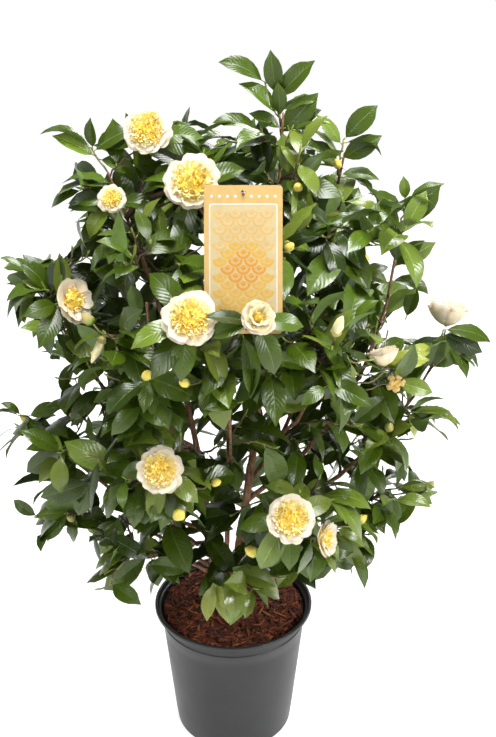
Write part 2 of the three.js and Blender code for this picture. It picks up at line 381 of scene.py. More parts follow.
def make_studio():
    scene = bpy.context.scene
    scene.view_settings.view_transform = "Standard"
    scene.view_settings.look = "None"
    make_world(scene)
    for light in LIGHTS:
        make_light(*light)
    floor = bpy.data.meshes.new("floor")
    corners = [(x * FLOOR_REACH, y * FLOOR_REACH, 0) for x, y in ((-1, -1), (1, -1), (1, 1), (-1, 1))]
    floor.from_pydata(corners, [], [(0, 1, 2, 3)])
    white = (1.0, 1.0, 1.0, 1.0)
    glow = {"Specular_IOR_Level": 0.1, "Emission_Strength": 0.88, "Emission_Color": white}
    floor.materials.append(material("pale_floor", (0.5, 0.5, 0.5), 0.9, **glow))
    add_object("floor", floor, (0, 0, -0.0005))


# ---- Pot ----

POT_SIDES = 288
# the wall's thickness, the band's and lip's heights, and the radius of the bead between them
WALL, BAND_DOWN, LIP, BEAD = 0.0022, 0.029, 0.0072, 0.0012
BEAD_TURNS = np.radians([-70, -30, 10, 50, 80])


def lathe(bag, profile, sides=POT_SIDES):
    """Turns a closed profile of (radius, height) round the Z axis."""
    radius, height = np.array(profile)[:, :, None].swapaxes(0, 1)
    points = round_grid(radius * np.ones(sides), around(sides), height)
    bag.add(points, grid_faces(len(profile), sides, wrap=True))


def arc(x, y, radius, start, end, count):
    """Points on an arc about (x, y) between two angles in degrees."""
    turn = np.radians(np.linspace(start, end, count))
    return [(x + radius * math.cos(a), y + radius * math.sin(a)) for a in turn]


def press_notch(points, radius, height):
    """A small dent under the lip at the front, as a mould leaves it."""
    turn = (np.arctan2(points[:, 1], points[:, 0]) + math.pi / 2) * radius
    outer = np.hypot(points[:, 0], points[:, 1]) > radius - 0.0018
    near = np.exp(-((turn / 0.0042) ** 4)) * np.exp(-(((points[:, 2] - height) / 0.0030) ** 4)) * outer
    points[:, :2] *= (1 - near * 0.0019 / radius)[:, None]


def make_pot(plastic):
    """The moulded pot: rounded foot, tapered wall, thicker band and a rolled lip."""
    rim, top = RIM_RADIUS, POT_HEIGHT
    wall_top = rim - 0.010
    corners = points_of("pot")
    foot = abs(corners[corners[:, 2] < 0.001, 0]).max() + 0.004
    band, under_lip = top - BAND_DOWN, top - LIP

    def wall(height):
        return foot + (wall_top - foot) * height / top

    outside = [(0.0015, 0.0), (foot * 0.5, 0.0), (foot - 0.008, 0.0)]
    outside += arc(foot - 0.006, 0.006, 0.006, -80, 0, 6)
    outside += [(wall(h), h) for h in np.linspace(0.03, band - 0.0016, 9)]
    outside += [(wall(band) + BEAD * math.cos(a), band + BEAD * math.sin(a)) for a in BEAD_TURNS]
    outside += [(wall(h) - 0.0004, h) for h in np.linspace(band + 0.0022, under_lip - 0.0030, 6)]
    outside += [(wall(top) + 0.0010, under_lip - 0.0010), (rim - 0.0030, under_lip)]
    outside += arc(rim - 0.0016, under_lip + 0.0016, 0.0016, -80, 0, 4)
    outside += arc(rim - 0.0022, top - 0.0022, 0.0022, 0, 90, 6)
    outside += arc(rim - 0.0036, top - 0.0014, 0.0014, 90, 180, 4)
    inside = [(rim - 0.0062, top - 0.006), (wall_top + 0.0006, top - 0.0115)]
    inside += [(wall(h) - WALL, h) for h in np.linspace(top - 0.018, 0.004, 6)]
    inside += [(0.0015, 0.004), (0.0015, 0.0)]
    bag = Bag("nursery_pot", [plastic])
    lathe(bag, outside + inside)
    press_notch(bag.points[0], wall_top, under_lip - 0.0042)
    made = bag.build()
    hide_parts("pot")


def pot_plastic():
    made = material("pot_plastic", (0.022, 0.023, 0.025), 0.36, Specular_IOR_Level=0.36)
    dust = noise(made, 9.0, 5.0, 0.6)
    stops = (0.35, (0.018, 0.018, 0.020)), (0.75, (0.027, 0.028, 0.028))
    link(made, ramp(made, dust, *stops), "Base Color")
    roughen(made, noise(made, 26.0, 4.0), 0.31, 0.46)
    bump(made, noise(made, 900.0, 2.0), 0.10, 0.0004)
    return made


# ---- Mulch ----

MULCH_SHREDS = 3600
# colour of a shred, share of the shreds
MULCH_TINTS = [
    ((0.088, 0.021, 0.009), 0.34),
    ((0.155, 0.036, 0.013), 0.28),
    ((0.046, 0.013, 0.007), 0.18),
    ((0.255, 0.060, 0.020), 0.13),
    ((0.360, 0.112, 0.040), 0.07),
]
MULCH_REACH = RIM_RADIUS - 0.0142
SHRED_ENDS = np.array([-1.0, -0.45, 0.3, 1.0])
SHRED_WIDTHS = np.array([0.35, 1.0, 0.85, 0.25])
SHRED_FACES = np.concatenate([grid_faces(4, 4, wrap=True), [[3, 2, 1, 0], [12, 13, 14, 15]]])


def mulch_bed():
    """The profile of the bed that the shreds lie on."""
    radius = np.linspace(0.002, MULCH_REACH, 16)
    bed = np.stack([radius, SOIL + 0.0028 + 0.0008 * np.sin(radius * 700)], -1)
    under = [(MULCH_REACH, SOIL - 0.004), (0.002, SOIL - 0.004), (0.002, bed[0][1])]
    return np.concatenate([bed, under])[::-1]


def add_shred(bag, shares):
    """One bent, torn strip of bark, left out if it would reach through the pot's wall."""
    distance = MULCH_REACH * math.sqrt(dice.random())
    turn = dice.uniform(0, 2 * math.pi)
    heap = 0.0075 * (1 - (distance / MULCH_REACH) ** 6)
    height = SOIL + 0.002 + heap * dice.random()
    centre = np.array([distance * math.cos(turn), distance * math.sin(turn), height])
    centre[2] += dice.uniform(0.001, 0.006)
    length = dice.uniform(0.006, 0.017)
    width = dice.uniform(0.0010, 0.0030)
    heading = dice.uniform(0, math.pi)
    along = unit([math.cos(heading), math.sin(heading), dice.normal(0, 0.22)])
    across = unit(np.cross(UP + dice.normal(0, 0.35, 3), along))
    above = np.cross(along, across)
    ends = centre[:2] + np.outer([-length, length], along[:2])
    if np.hypot(*ends.T).max() > MULCH_REACH:
        return
    widths = SHRED_WIDTHS * width * dice.uniform(0.7, 1.2, 4)
    bend = dice.uniform(-0.0022, 0.0022)
    share = SHRED_ENDS[:, None]
    spine = centre + along * share * length + above * share**2 * bend
    thick = widths * dice.uniform(0.25, 0.5)
    square = [(-1, -1), (1, -1), (1, 1), (-1, 1)]
    rings = [spine + across * (a * widths)[:, None] + above * (b * thick)[:, None] for a, b in square]
    bag.add(np.stack(rings, 1), SHRED_FACES, dice.choice(len(shares), p=shares))


def make_mulch():
    """Shredded bark on the root ball, in strips that lie every way over each other."""
    tints = [mottled(f"bark_shred_{i}", tint, 0.85, 220, 0.35) for i, (tint, _) in enumerate(MULCH_TINTS)]
    bag = Bag("bark_mulch", tints)
    lathe(bag, mulch_bed(), 48)
    for _ in range(MULCH_SHREDS):
        add_shred(bag, np.array([share for _, share in MULCH_TINTS]))
    made = bag.build(smooth=False)
    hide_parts("root_ball")


# ---- Bark: root crown, stems and boughs ----


def limb_path(name, count):
    """Centres and radii along a limb of the frame, from its foot to its tip."""
    points = points_of(name)
    edges = np.array([e.vertices for e in frame["nodes"][name].data.edges])
    one = points[np.argmax(np.linalg.norm(points - points.mean(0), axis=1))]
    two = points[np.argmax(np.linalg.norm(points - one, axis=1))]
    upright = name.startswith("stem") or name == "root_crown"
    foot, tip = sorted((one, two), key=lambda p: p[2] if upright else math.hypot(p[0], p[1]))
    axis = unit(tip - foot)
    reach = (points - foot) @ axis
    centres, radii = [], []
    for level in np.linspace(0.006, 0.994, count) * reach.max():
        start, end = reach[edges[:, 0]] - level, reach[edges[:, 1]] - level
        crossed = (start * end) < 0
        share = (start / (start - end + 1e-12))[crossed][:, None]
        crossing = points[edges[crossed, 0]] * (1 - share) + points[edges[crossed, 1]] * share
        centres.append((crossing.min(0) + crossing.max(0)) / 2)
        radii.append(np.linalg.norm(crossing - centres[-1], axis=1).mean())
    centres = np.array(centres)
    slant = np.abs(unit(np.gradient(centres, axis=0)) @ axis)
    return centres, np.array(radii) * slant


def bark_relief(seed):
    """Low ridges, swollen joints and leaf scars, as a scale on the radius."""
    phase = seed * 1.31

    def relief(ring, turn):
        ridges = 0.05 * np.sin(3 * turn + 0.11 * ring + phase) * np.sin(0.35 * ring + phase)
        joints = 0.10 * np.maximum(0, np.sin(0.42 * ring + phase)) ** 8
        grain = 0.03 * np.sin(7 * turn + 0.9 * ring) * np.sin(1.7 * ring + 2 * phase)
        return 1 + ridges + joints + grain

    return relief


def flare(ring, turn):
    """The root crown's relief, with buttresses at its foot."""
    near = np.maximum(0, 1 - ring / 14.0) ** 2
    buttress = 0.16 * near * np.cos(4 * turn + 0.6) + 0.07 * near * np.cos(7 * turn)
    return bark_relief(3)(ring, turn) + buttress


def bark_material():
    made = material("young_bark", (0.17, 0.085, 0.052), 0.78, Specular_IOR_Level=0.25)
    place = node(made, "ShaderNodeTexCoord")["Object"]
    streaks = node(made, "ShaderNodeMapping", {"Vector": place, "Scale": (1.0, 1.0, 0.22)})["Vector"]
    mottle = noise(made, 240.0, 5.0, 0.65, streaks)
    stops = (0.32, (0.100, 0.044, 0.025)), (0.5, (0.240, 0.122, 0.068)), (0.70, (0.42, 0.26, 0.16))
    link(made, ramp(made, mottle, *stops), "Base Color")
    bump(made, mottle, 0.5, 0.0012)
    return made


LIMB_TIP, RING_STEP = 0.0017, 0.008


def make_bark(made_of):
    """Meshes with the bark's relief that replace the root crown, stems and boughs."""
    bag = Bag("stems_and_boughs", [made_of])
    paths = {}
    for seed, name in enumerate(sorted(LIMBS)):
        if name == "root_crown":
            continue
        low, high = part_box(name)
        centres, radii = paths[name] = limb_path(name, max(14, int((high - low).length / RING_STEP)))
        foot = centres[0] - unit(centres[2] - centres[0]) * radii[0] * 0.8
        taper = np.clip((len(radii) - np.arange(len(radii))) / (0.3 * len(radii)), 0, 1)
        radii = LIMB_TIP + (radii - LIMB_TIP) * taper
        tube = np.concatenate([[foot], centres])
        add_tube(bag, tube, np.concatenate([[radii[0] * 1.15], radii]), 12, 0, bark_relief(seed))
    centres, radii = limb_path("root_crown", 26)
    add_tube(bag, centres, radii * 0.97, 28, 0, flare)
    made = bag.build()
    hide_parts(*LIMBS)
    return paths


# ---- The room that the crown fills ----

CROWN_FOOT, CROWN_TOP = 0.33, cad_bounds[1][2]
CROWN_CORNER = np.array([cad_bounds[0][0], 0.0, CROWN_FOOT])
CROWN_SIZE = np.array([cad_bounds[1][0] - cad_bounds[0][0], 0.0, CROWN_TOP - CROWN_FOOT])
# the widest parting between masses, the pitches of the search for shoot tips, and how near a mass
# stands on a side that counts as walled
PARTING, CROWN_PITCH, HOLLOW_PITCH, WALLED_WITHIN = 0.022, 0.021, 0.030, 0.26
TURNS = np.arange(16) * math.pi * (3 - math.sqrt(5))
LEVELS = 1 - (np.arange(16) + 0.5) / 8
GIRTHS = np.sqrt(1 - LEVELS**2)
ALL_ROUND = np.stack([np.cos(TURNS) * GIRTHS, np.sin(TURNS) * GIRTHS, LEVELS], -1)
# the hollow between the boughs that the masses stand round
CRADLE_LOW, CRADLE_HIGH = np.array([-0.22, -0.20, 0.34]), np.array([0.24, 0.20, 0.80])


def crown_tree():
    """One search tree over the surfaces of all masses."""
    points, polygons = [], []
    for name in MASSES:
        mesh = frame["nodes"][name].data
        polygons += [[len(points) + i for i in face.vertices] for face in mesh.polygons]
        points += [v.co for v in mesh.vertices]
    return BVHTree.FromPolygons(points, polygons)


CROWN = crown_tree()


def height_share(point):
    """A point's height as a share of the crown's."""
    return (point[2] - CROWN_FOOT) / (CROWN_TOP - CROWN_FOOT)


def inside_crown(point):
    place, normal, _, _ = CROWN.find_nearest(point)
    return (Vector(point) - place).dot(normal) < 0


def way_out(point, direction):
    """How far the crown goes on in a direction, across the hairline partings between masses."""
    travelled, start = 0.0, Vector(point)
    for _ in range(12):
        hit, normal, _, distance = CROWN.ray_cast(start, direction)
        if hit is None:
            return travelled
        travelled += distance
        start = hit + direction * 0.0001
        if normal.dot(direction) > 0:
            _, entered, _, _ = CROWN.ray_cast(start, direction, PARTING)
            if entered is None or entered.dot(direction) > 0:
                return travelled
    return travelled


def random_cells(steps):
    """A random place in each cell of a grid, counted in cells."""
    cells = np.stack(np.meshgrid(*[np.arange(s) for s in steps], indexing="ij"), -1).reshape(-1, 3)
    for cell in cells:
        yield cell + dice.random(3)


def crown_points():
    """Points through the masses, each with its depth in the crown and the way out of it."""
    places, depths, ways = [], [], []
    for name in MASSES:
        low, high = box_of(name)
        steps = np.maximum(2, ((high - low) / CROWN_PITCH).astype(int))
        for cell in random_cells(steps):
            point = low + cell * (high - low) / steps
            if inside_crown(point):
                reaches = np.array([way_out(point, Vector(d)) for d in ALL_ROUND])
                places.append(point)
                depths.append(reaches.min())
                ways.append(unit((ALL_ROUND / (reaches[:, None] + 0.01) ** 2).sum(0)))
    return np.array(places), np.array(depths), np.array(ways)


def hollow_points():
    """Points that the masses stand round but don't fill."""
    places = []
    for cell in random_cells(((CRADLE_HIGH - CRADLE_LOW) / HOLLOW_PITCH).astype(int)):
        point = CRADLE_LOW + cell * HOLLOW_PITCH
        if inside_crown(point):
            continue
        walled = sum(CROWN.ray_cast(point, Vector(d), WALLED_WITHIN)[0] is not None for d in ALL_ROUND)
        if walled >= (9 if point[2] > 0.5 else 6):
            places.append(point)
    return np.array(places)


# ---- What hangs in the crown: the card and the blooms ----


def card_frame():
    """The card's centre, its across, up and outward directions, and its half width and height."""
    points = points_of("plant_label")
    centre = (points.min(0) + points.max(0)) / 2
    _, axes = np.linalg.eigh(np.cov((points - points.mean(0)).T))
    out = axes[:, 0] * (-1 if axes[1, 0] > 0 else 1)
    across = unit(np.array([1.0, 0.0, 0.0]) - out * out[0])
    up = np.cross(out, across)
    up *= 1 if up[2] > 0 else -1
    local = (points - centre) @ np.stack([across, up, out], 1)
    centre = centre + np.stack([across, up, out]).T @ ((local.max(0) + local.min(0)) / 2)
    return centre, across, up, out, np.ptp(local[:, 0]) / 2, np.ptp(local[:, 1]) / 2


CARD_AT, CARD_ACROSS, CARD_UP, CARD_OUT, CARD_HALF_WIDTH, CARD_HALF_HEIGHT = card_frame()
# room round the card, strips of its sides and ends that may be hidden, and how far it is kept in sight
CARD_ROOM, CARD_SIDE, CARD_END, CARD_SIGHT = 0.002, 0.016, 0.008, 0.25


def past_card(points):
    """How far points are across, up and out from the card's middle."""
    away = points - CARD_AT
    return np.abs(away @ CARD_ACROSS), np.abs(away @ CARD_UP), away @ CARD_OUT


def touches_card(points):
    across, up, out = past_card(points)
    beside = (across < CARD_HALF_WIDTH + CARD_ROOM) & (up < CARD_HALF_HEIGHT + CARD_ROOM)
    return bool((beside & (np.abs(out) < 2 * CARD_ROOM)).any())


def meets_card(points):
    """True if points cross the card or hide more of its face than its edges."""
    across, up, out = past_card(points)
    beside = (across < CARD_HALF_WIDTH - CARD_SIDE) & (up < CARD_HALF_HEIGHT - CARD_END)
    return touches_card(points) or bool((beside & (out > 0) & (out < CARD_SIGHT)).any())


# tints of leaves, in the order of LEAF_TINTS; SHADE is painted shade for leaves in shade, and the bright
# tint is a real yellow-green that also paints light shining through the leaf
SHADE, DEEP, MIDDLE, OLIVE, BRIGHT, YOUNG = range(6)
# mass, place in its box, diameter, facing (turn from the front, rise) in degrees, form
BLOOMS = [
    ("left_top", (0.30, 0.33, 0.90), 0.073, (-12, 26), "open"),
    ("left_top", (0.69, 0.02, 0.45), 0.086, (-6, 30), "open"),
    ("left_top_spray", (0.94, 0.17, 0.18), 0.044, (-4, 30), "open"),
    ("left_mid_spray", (1.07, -0.42, 0.52), 0.072, (58, 18), "cupped"),
    ("mid_front_left", (0.96, -0.044, 1.168), 0.078, (4, 32), "open"),
    ("mid_front", (0.67, 0.014, 1.232), 0.050, (14, 34), "half"),
    ("low_front_left", (0.59, 0.12, 0.79), 0.073, (-10, 30), "open"),
    ("low_front_right", (0.40, 0.02, 0.70), 0.075, (6, 34), "open"),
    ("low_front_right", (0.66, 0.21, 0.31), 0.058, (62, 10), "cupped"),
    ("right_mid_spray", (0.33, 0.47, 0.78), 0.082, (150, 80), "bowl"),
    ("mid_right", (0.42, 0.02, 0.55), 0.058, (-140, 68), "bowl"),
    ("mid_right", (0.56, 0.07, 0.30), 0.034, (20, 10), "faded"),
    ("upper_back_left", (0.45, 1.02, 0.62), 0.074, (190, 18), "open"),
    ("mid_back_right", (0.60, 1.00, 0.70), 0.076, (165, 14), "open"),
    ("low_back_left", (0.30, 1.00, 0.80), 0.070, (205, 12), "open"),
    ("back_top", (0.62, 1.00, 0.45), 0.052, (175, 40), "half"),
]
# for each bloom, the leaves round its foot: clock angle, length in mm, lean to its face in tenths, tint
COLLARS = [
    [(85, 66, 0, MIDDLE), (108, 70, 0, DEEP), (255, 62, 0, DEEP)],
    [(280, 66, 0, MIDDLE), (195, 74, 0, DEEP), (62, 70, -1, DEEP)],
    [(96, 66, 3, DEEP), (276, 68, 0, MIDDLE), (218, 58, 0, OLIVE)],
    [(272, 60, 0, DEEP), (18, 64, 1, OLIVE), (84, 60, 0, SHADE), (232, 70, 0, DEEP), (172, 64, 0, DEEP)],
    [
        (252, 80, 3, BRIGHT), (20, 62, 0, BRIGHT), (146, 78, 2, YOUNG), (226, 82, 0, DEEP),
        (190, 72, 0, MIDDLE), (326, 84, 0, DEEP),
    ],
    [(276, 60, 1, SHADE), (97, 62, 1, MIDDLE), (240, 60, 0, MIDDLE), (162, 72, 0, DEEP)],
    [(122, 62, 3, OLIVE), (190, 66, 0, OLIVE), (265, 60, 0, MIDDLE), (336, 64, 0, DEEP)],
    [(268, 70, 0, MIDDLE), (182, 66, 0, MIDDLE), (70, 66, 0, OLIVE), (214, 80, 0, BRIGHT)],
    [(178, 60, 5, OLIVE), (204, 56, -2, MIDDLE), (150, 62, 9, BRIGHT)],
    [
        (180, 78, -5, DEEP), (228, 74, -9, DEEP), (145, 74, -4, MIDDLE), (292, 70, -10, DEEP),
        (20, 60, -4, MIDDLE),
    ],
    [(118, 78, 7, MIDDLE), (250, 60, 0, DEEP)],
    [(112, 58, 2, BRIGHT), (14, 72, 7, MIDDLE)],
    [(100, 70, 0, MIDDLE), (250, 72, 0, DEEP)],
    [(80, 70, 0, DEEP), (215, 70, 0, MIDDLE)],
    [(120, 70, 0, OLIVE), (285, 70, 0, MIDDLE)],
    [(95, 60, 0, DEEP), (260, 62, 0, MIDDLE)],
]
# gaps open from front to back: hundredths of the crown's box across and up, radius in mm
GAPS = [
    (9, 41, 34), (11, 0, 42), (27, -3, 22), (88, 26, 30), (89, 3, 40), (70, -6, 28), (83, 51, 16),
    (77, 79, 24), (15, 67, 18), (41, 66, 8), (30, 60, 8), (25, 58, 7), (27, 44, 7), (21, 40, 11),
    (20, 33, 11), (42, 28, 8), (44, 25, 6), (50, 25, 6), (5, 47, 20), (16, 23, 7), (20, 18, 8),
    (59, 31, 13), (63, 26, 10), (71, 20, 7), (73, 24, 7), (73, 29, 9), (74, 40, 11), (75, 44, 13),
    (79, 50, 13), (75, 65, 9), (79, 61, 7), (53, 78, 7), (35, 99, 22), (26, 97, 16),
]
# shoots besides those that the even growth gives: hundredths of the mass's box
EXTRA_SHOOTS = {
    "crown_top": [(50, 57, 78), (22, 57, 80)], "upper_left": [(13, 30, 40)],
    "low_right": [(78, 56, 55), (24, 36, 10)], "low_back_left": [(114, 30, 56), (97, 30, 20)],
    "low_back_right": [(-20, 21, 6), (16, 31, 25)], "right_skirt": [(68, 81, 105)],
    "front_right_skirt": [(72, 105, 10)], "low_left": [(53, 50, 95)], "low_front_right": [(3, 105, 25)],
    "left_top": [(86, 95, 74), (58, 80, 80)], "front_skirt": [(39, 87, 69), (15, 118, 49)],
}
# leading shoots: mass, hundredths of its box for the tip, and leaves as mm back from the tip, clock
# angle seen from the front, length in mm, how far the face shows to the front in tenths, tint
LEADERS = [
    ("top_spray", (16, 61, 56), [
        (0, 299, 70, 4.5, DEEP), (4, 20, 30, 5, BRIGHT), (50, 314, 68, 4, MIDDLE),
        (58, 352, 48, 9, DEEP), (85, 300, 50, 5, DEEP), (100, 172, 60, 8, BRIGHT),
        (110, 60, 60, 6, DEEP),
    ]),
    ("top_spray", (38, 61, 36), [
        (0, 350, 62, 9, DEEP), (2, 46, 72, 9, DEEP), (22, 64, 66, 4, MIDDLE), (55, 42, 76, 10, DEEP),
        (70, 100, 60, 5, MIDDLE), (80, 215, 60, 6, DEEP),
    ]),
    ("right_top_spray", (28, 34, 49), [
        (0, 42, 66, 6, DEEP), (4, 88, 60, 0, DEEP), (8, 318, 58, 6, BRIGHT), (30, 60, 66, 10, DEEP),
        (26, 314, 62, 4, OLIVE), (45, 312, 56, 8, BRIGHT), (55, 82, 60, 5, MIDDLE),
        (60, 95, 58, 1, DEEP),
    ]),
    ("right_upper_spray", (54, 50, 81), [
        (0, 62, 56, 6, MIDDLE), (4, 350, 36, 8, BRIGHT), (20, 300, 58, 6, DEEP), (40, 40, 78, 10, DEEP),
        (52, 322, 60, 9, BRIGHT), (56, 285, 62, 4, MIDDLE),
    ]),
    ("right_upper_spray", (44, 50, 18), [
        (0, 356, 60, 9, DEEP), (3, 54, 66, 9, BRIGHT), (8, 38, 60, 4, MIDDLE), (30, 100, 62, 3, DEEP),
        (35, 290, 60, 6, OLIVE),
    ]),
    ("left_top_spray", (62, 51, 77), [
        (0, 299, 74, 0, DEEP), (4, 358, 44, 10, DEEP), (6, 50, 62, 5, DEEP), (14, 302, 64, 6, BRIGHT),
        (18, 108, 56, 5, MIDDLE), (60, 284, 72, 3, MIDDLE), (66, 262, 50, 6, DEEP),
        (84, 222, 54, 10, DEEP), (94, 274, 90, 2, MIDDLE),
    ]),
    ("upper_left", (3, 20, 17), [
        (0, 276, 66, 1, MIDDLE), (4, 262, 78, 0, DEEP), (6, 300, 40, 6, OLIVE), (12, 18, 60, 9, SHADE),
        (16, 330, 62, 4, DEEP), (24, 95, 60, 6, MIDDLE),
    ]),
    ("left_low_spray", (42, 19, 87), [
        (0, 290, 50, 0, DEEP), (2, 318, 36, 3, MIDDLE), (6, 140, 54, 10, DEEP), (12, 62, 56, 4, MIDDLE),
        (20, 168, 48, 9, MIDDLE),
    ]),
    ("low_left", (28, 40, 54), [
        (0, 236, 78, 8, DEEP), (4, 280, 62, 3, MIDDLE), (12, 128, 60, 9, OLIVE),
        (16, 190, 54, 6, OLIVE),
    ]),
    ("low_left", (52, 25, 22), [
        (0, 255, 82, 8, DEEP), (4, 200, 60, 9, MIDDLE), (14, 285, 58, 4, MIDDLE), (18, 90, 60, 7, DEEP),
    ]),
    ("left_skirt", (59, 26, 61), [
        (0, 234, 72, 1, MIDDLE), (4, 226, 62, 6, MIDDLE), (8, 268, 56, 5, BRIGHT),
        (16, 186, 50, 6, DEEP),
    ]),
    ("front_left_skirt", (41, 75, 95), [
        (0, 192, 68, 10, MIDDLE), (6, 212, 70, 9, BRIGHT), (14, 240, 60, 6, DEEP),
    ]),
    ("front_left_skirt", (73, 75, 38), [
        (0, 232, 92, 7, MIDDLE), (6, 165, 52, 5, DEEP), (16, 200, 50, 2, DEEP),
    ]),
    ("front_right_skirt", (64, 44, 87), [
        (0, 146, 70, 10, OLIVE), (6, 182, 60, 9, MIDDLE), (14, 110, 56, 4, BRIGHT),
    ]),
    ("right_skirt", (56, 43, 64), [
        (0, 126, 56, 8, OLIVE), (6, 74, 58, 5, OLIVE), (12, 85, 50, 9, DEEP), (20, 172, 64, 10, MIDDLE),
    ]),
    ("right_mid_spray", (24, 22, 72), [
        (0, 92, 74, 4, DEEP), (4, 200, 56, 9, DEEP), (8, 106, 70, 8, SHADE), (12, 150, 56, 9, MIDDLE),
        (16, 245, 54, 8, SHADE), (20, 120, 66, 6, DEEP), (40, 75, 52, 5, OLIVE),
    ]),
    ("low_right", (65, 36, 72), [
        (0, 96, 78, 1, OLIVE), (6, 84, 56, 9, BRIGHT), (14, 150, 50, 5, YOUNG),
    ]),
]
# flower buds: mass, hundredths of its box, width in mm
BUDS = [
    ("mid_left", (65, 2, 99), 19), ("low_front_left", (72, 6, 34), 20),
    ("upper_front", (84, 24, 71), 15), ("right_upper_spray", (-12, -22, 41), 14),
    ("crown_top", (55, 12, 32), 15), ("mid_left", (44, 30, -2), 14),
    ("low_front_left", (37, 36, 18), 14), ("low_front_left", (98, 28, 55), 14),
    ("low_front_right", (11, 24, 12), 19), ("low_right", (22, 4, -39), 16),
    ("low_left", (27, 42, -35), 14), ("mid_front_left", (62, 5, 66), 16),
    ("mid_front_left", (90, 5, 59), 14), ("left_low_spray", (40, 42, 71), 14),
    ("left_mid_spray", (40, 41, 52), 16), ("mid_right", (54, 20, -23), 16),
    ("right_top_spray", (18, 20, 20), 14), ("mid_back", (30, 95, 60), 16),
    ("upper_back_right", (55, 98, 50), 18), ("low_back_right", (40, 98, 70), 16),
    ("right_skirt", (90, 50, 60), 15),
]
# opening buds: mass and place in its box of the foot, heading, width, length
OPENING_BUDS = [
    ("mid_front_left", (0.23, 0.53, 0.77), (-0.40, -0.35, -0.80), 0.013, 0.038),
    ("mid_front_right", (0.50, 0.26, 0.75), (0.2, -0.45, 0.85), 0.015, 0.036),
]
# limbs that leaves don't hide from the front, between two shares of their length
SHOWN_LIMBS = [
    ("stem_left", 0.38, 0.47), ("stem_left", 0.62, 0.98), ("stem_right", 0.22, 0.31),
    ("stem_right", 0.80, 0.98), ("bough_right_mid", 0.74, 0.97), ("bough_right_upper", 0.72, 0.97),
]
# places on the mulch that stay in sight from the front: across, depth, radius
SHOWN_MULCH = [
    (-0.090, -0.050, 0.034), (-0.105, 0.010, 0.028), (0.100, -0.040, 0.036), (0.118, 0.015, 0.030),
]
# where the lines of sight start, and how far one goes on past the middle of a gap
EYE = np.array([0.03, -1.53, 1.34])
RIGHT_THROUGH = 9.0


def percent_in(mass, percents):
    """A point of a mass's box, from hundredths across, back and up."""
    return place_in(mass, np.array(percents) / 100)


def facing(turn, rise):
    """A direction from its turn from the front and its rise, in degrees."""
    turn, rise = math.radians(turn), math.radians(rise)
    return np.array([math.sin(turn) * math.cos(rise), -math.cos(turn) * math.cos(rise), math.sin(rise)])


BLOOM_ROWS = [(place_in(mass, at), size, facing(*way), form) for mass, at, size, way, form in BLOOMS]
BUD_ROWS = [(percent_in(mass, at), size / 1000) for mass, at, size in BUDS]
OPENING_ROWS = [(place_in(mass, at), unit(way), *size) for mass, at, way, *size in OPENING_BUDS]
SPHERES = BUD_ROWS + [(foot + way * length / 2, length * 0.5) for foot, way, _, length in OPENING_ROWS]


class Openings:
    """The gaps through the crown, and the room before what stays in sight.

    Each is a place, the radius of the line of sight to it, and how far past it the line goes on."""

    def __init__(self, paths):
        rows = []
        for across, up, radius in GAPS:
            place = np.array((across / 100, 0.0, up / 100)) * CROWN_SIZE + CROWN_CORNER
            rows.append((place, radius / 1000, RIGHT_THROUGH))
        for name, start, end in SHOWN_LIMBS:
            centres, girths = paths[name]
            for i in range(int(start * len(centres)), int(end * len(centres))):
                rows.append((centres[i], girths[i] * 0.6 + 0.003, -0.003))
        for foot, way, width, length in OPENING_ROWS:
            rows += [(foot + way * length * share, width * 0.5, 0.0) for share in (0.15, 0.45, 0.75)]
        rows += [(np.array((across, depth, SOIL)), radius, 0.0) for across, depth, radius in SHOWN_MULCH]
        self.places, self.radii, self.depths = (np.array(column) for column in zip(*rows))
        self.lines = unit(self.places - EYE)

    def meet(self, points):
        away = points[:, None] - self.places
        along = (away * self.lines).sum(2)
        beside = np.linalg.norm(away - along[..., None] * self.lines, axis=2)
        return bool(((beside < self.radii) & (along < self.depths)).any())


def meets_bloom(points):
    """True if points run through a bloom or bud, or stand in front of a bloom's face."""
    for centre, size, way, _ in BLOOM_ROWS:
        away = points - centre
        ahead = away @ way
        beside = np.linalg.norm(away - ahead[:, None] * way, axis=1)
        body = (ahead > -0.20 * size) & (ahead < 0.45 * size) & (beside < 0.52 * size)
        front = (ahead > 0) & (ahead < 0.16) & (beside < 0.36 * size)
        if (body | front).any():
            return True
    return any(np.linalg.norm(points - place, axis=1).min() < 0.6 * size for place, size in SPHERES)


# ---- Growth: twigs from the limbs ----

TWIG_STEP = 0.012
BARE_BELOW = 0.31
# radius of a twig's tip, of the thickest twig, and of the thickest with a green tip
TWIG_TIP, TWIG_MOST, YOUNG_TWIG = 0.00125, 0.0042, 0.0017
# depths that stand for a leading shoot and for one in the hollow, and room round a leader's tip
LEADING, HOLLOW_DEPTH, LEADER_CLEAR = 0.03, 0.070, 0.034
MOST_WOOD = 40000


class Wood:
    """The plant's wood as points that each know the point they grow from."""

    def __init__(self):
        self.place = np.zeros((MOST_WOOD, 3))
        self.heading = np.zeros((MOST_WOOD, 3))
        self.length = np.zeros(MOST_WOOD)
        self.bears = np.zeros(MOST_WOOD, bool)
        self.parent = np.full(MOST_WOOD, -1)
        self.count = 0

    def add(self, place, heading, parent, length, bears):
        i = self.count
        self.place[i], self.heading[i], self.parent[i] = place, heading, parent
        self.length[i], self.bears[i] = length, bears
        self.count += 1
        return i

    def feet(self, target, least, rise=None):
        """Points that a twig to the target can grow from: every fifth of the best forty.

        The best are near, early on their twig and headed its way."""
        n = self.count
        chord = target - self.place[:n]
        distance = np.linalg.norm(chord, axis=1)
        turn = 1 - (chord * self.heading[:n]).sum(1) / (distance + 1e-9)
        cost = distance * (1 + 0.45 * turn) + 0.18 * self.length[:n]
        cost[~self.bears[:n]] = np.inf
        cost[distance < least] += 0.5
        if rise is not None:
            cost[chord[:, 2] < rise] += 0.5
        return np.argsort(cost)[:40:5]


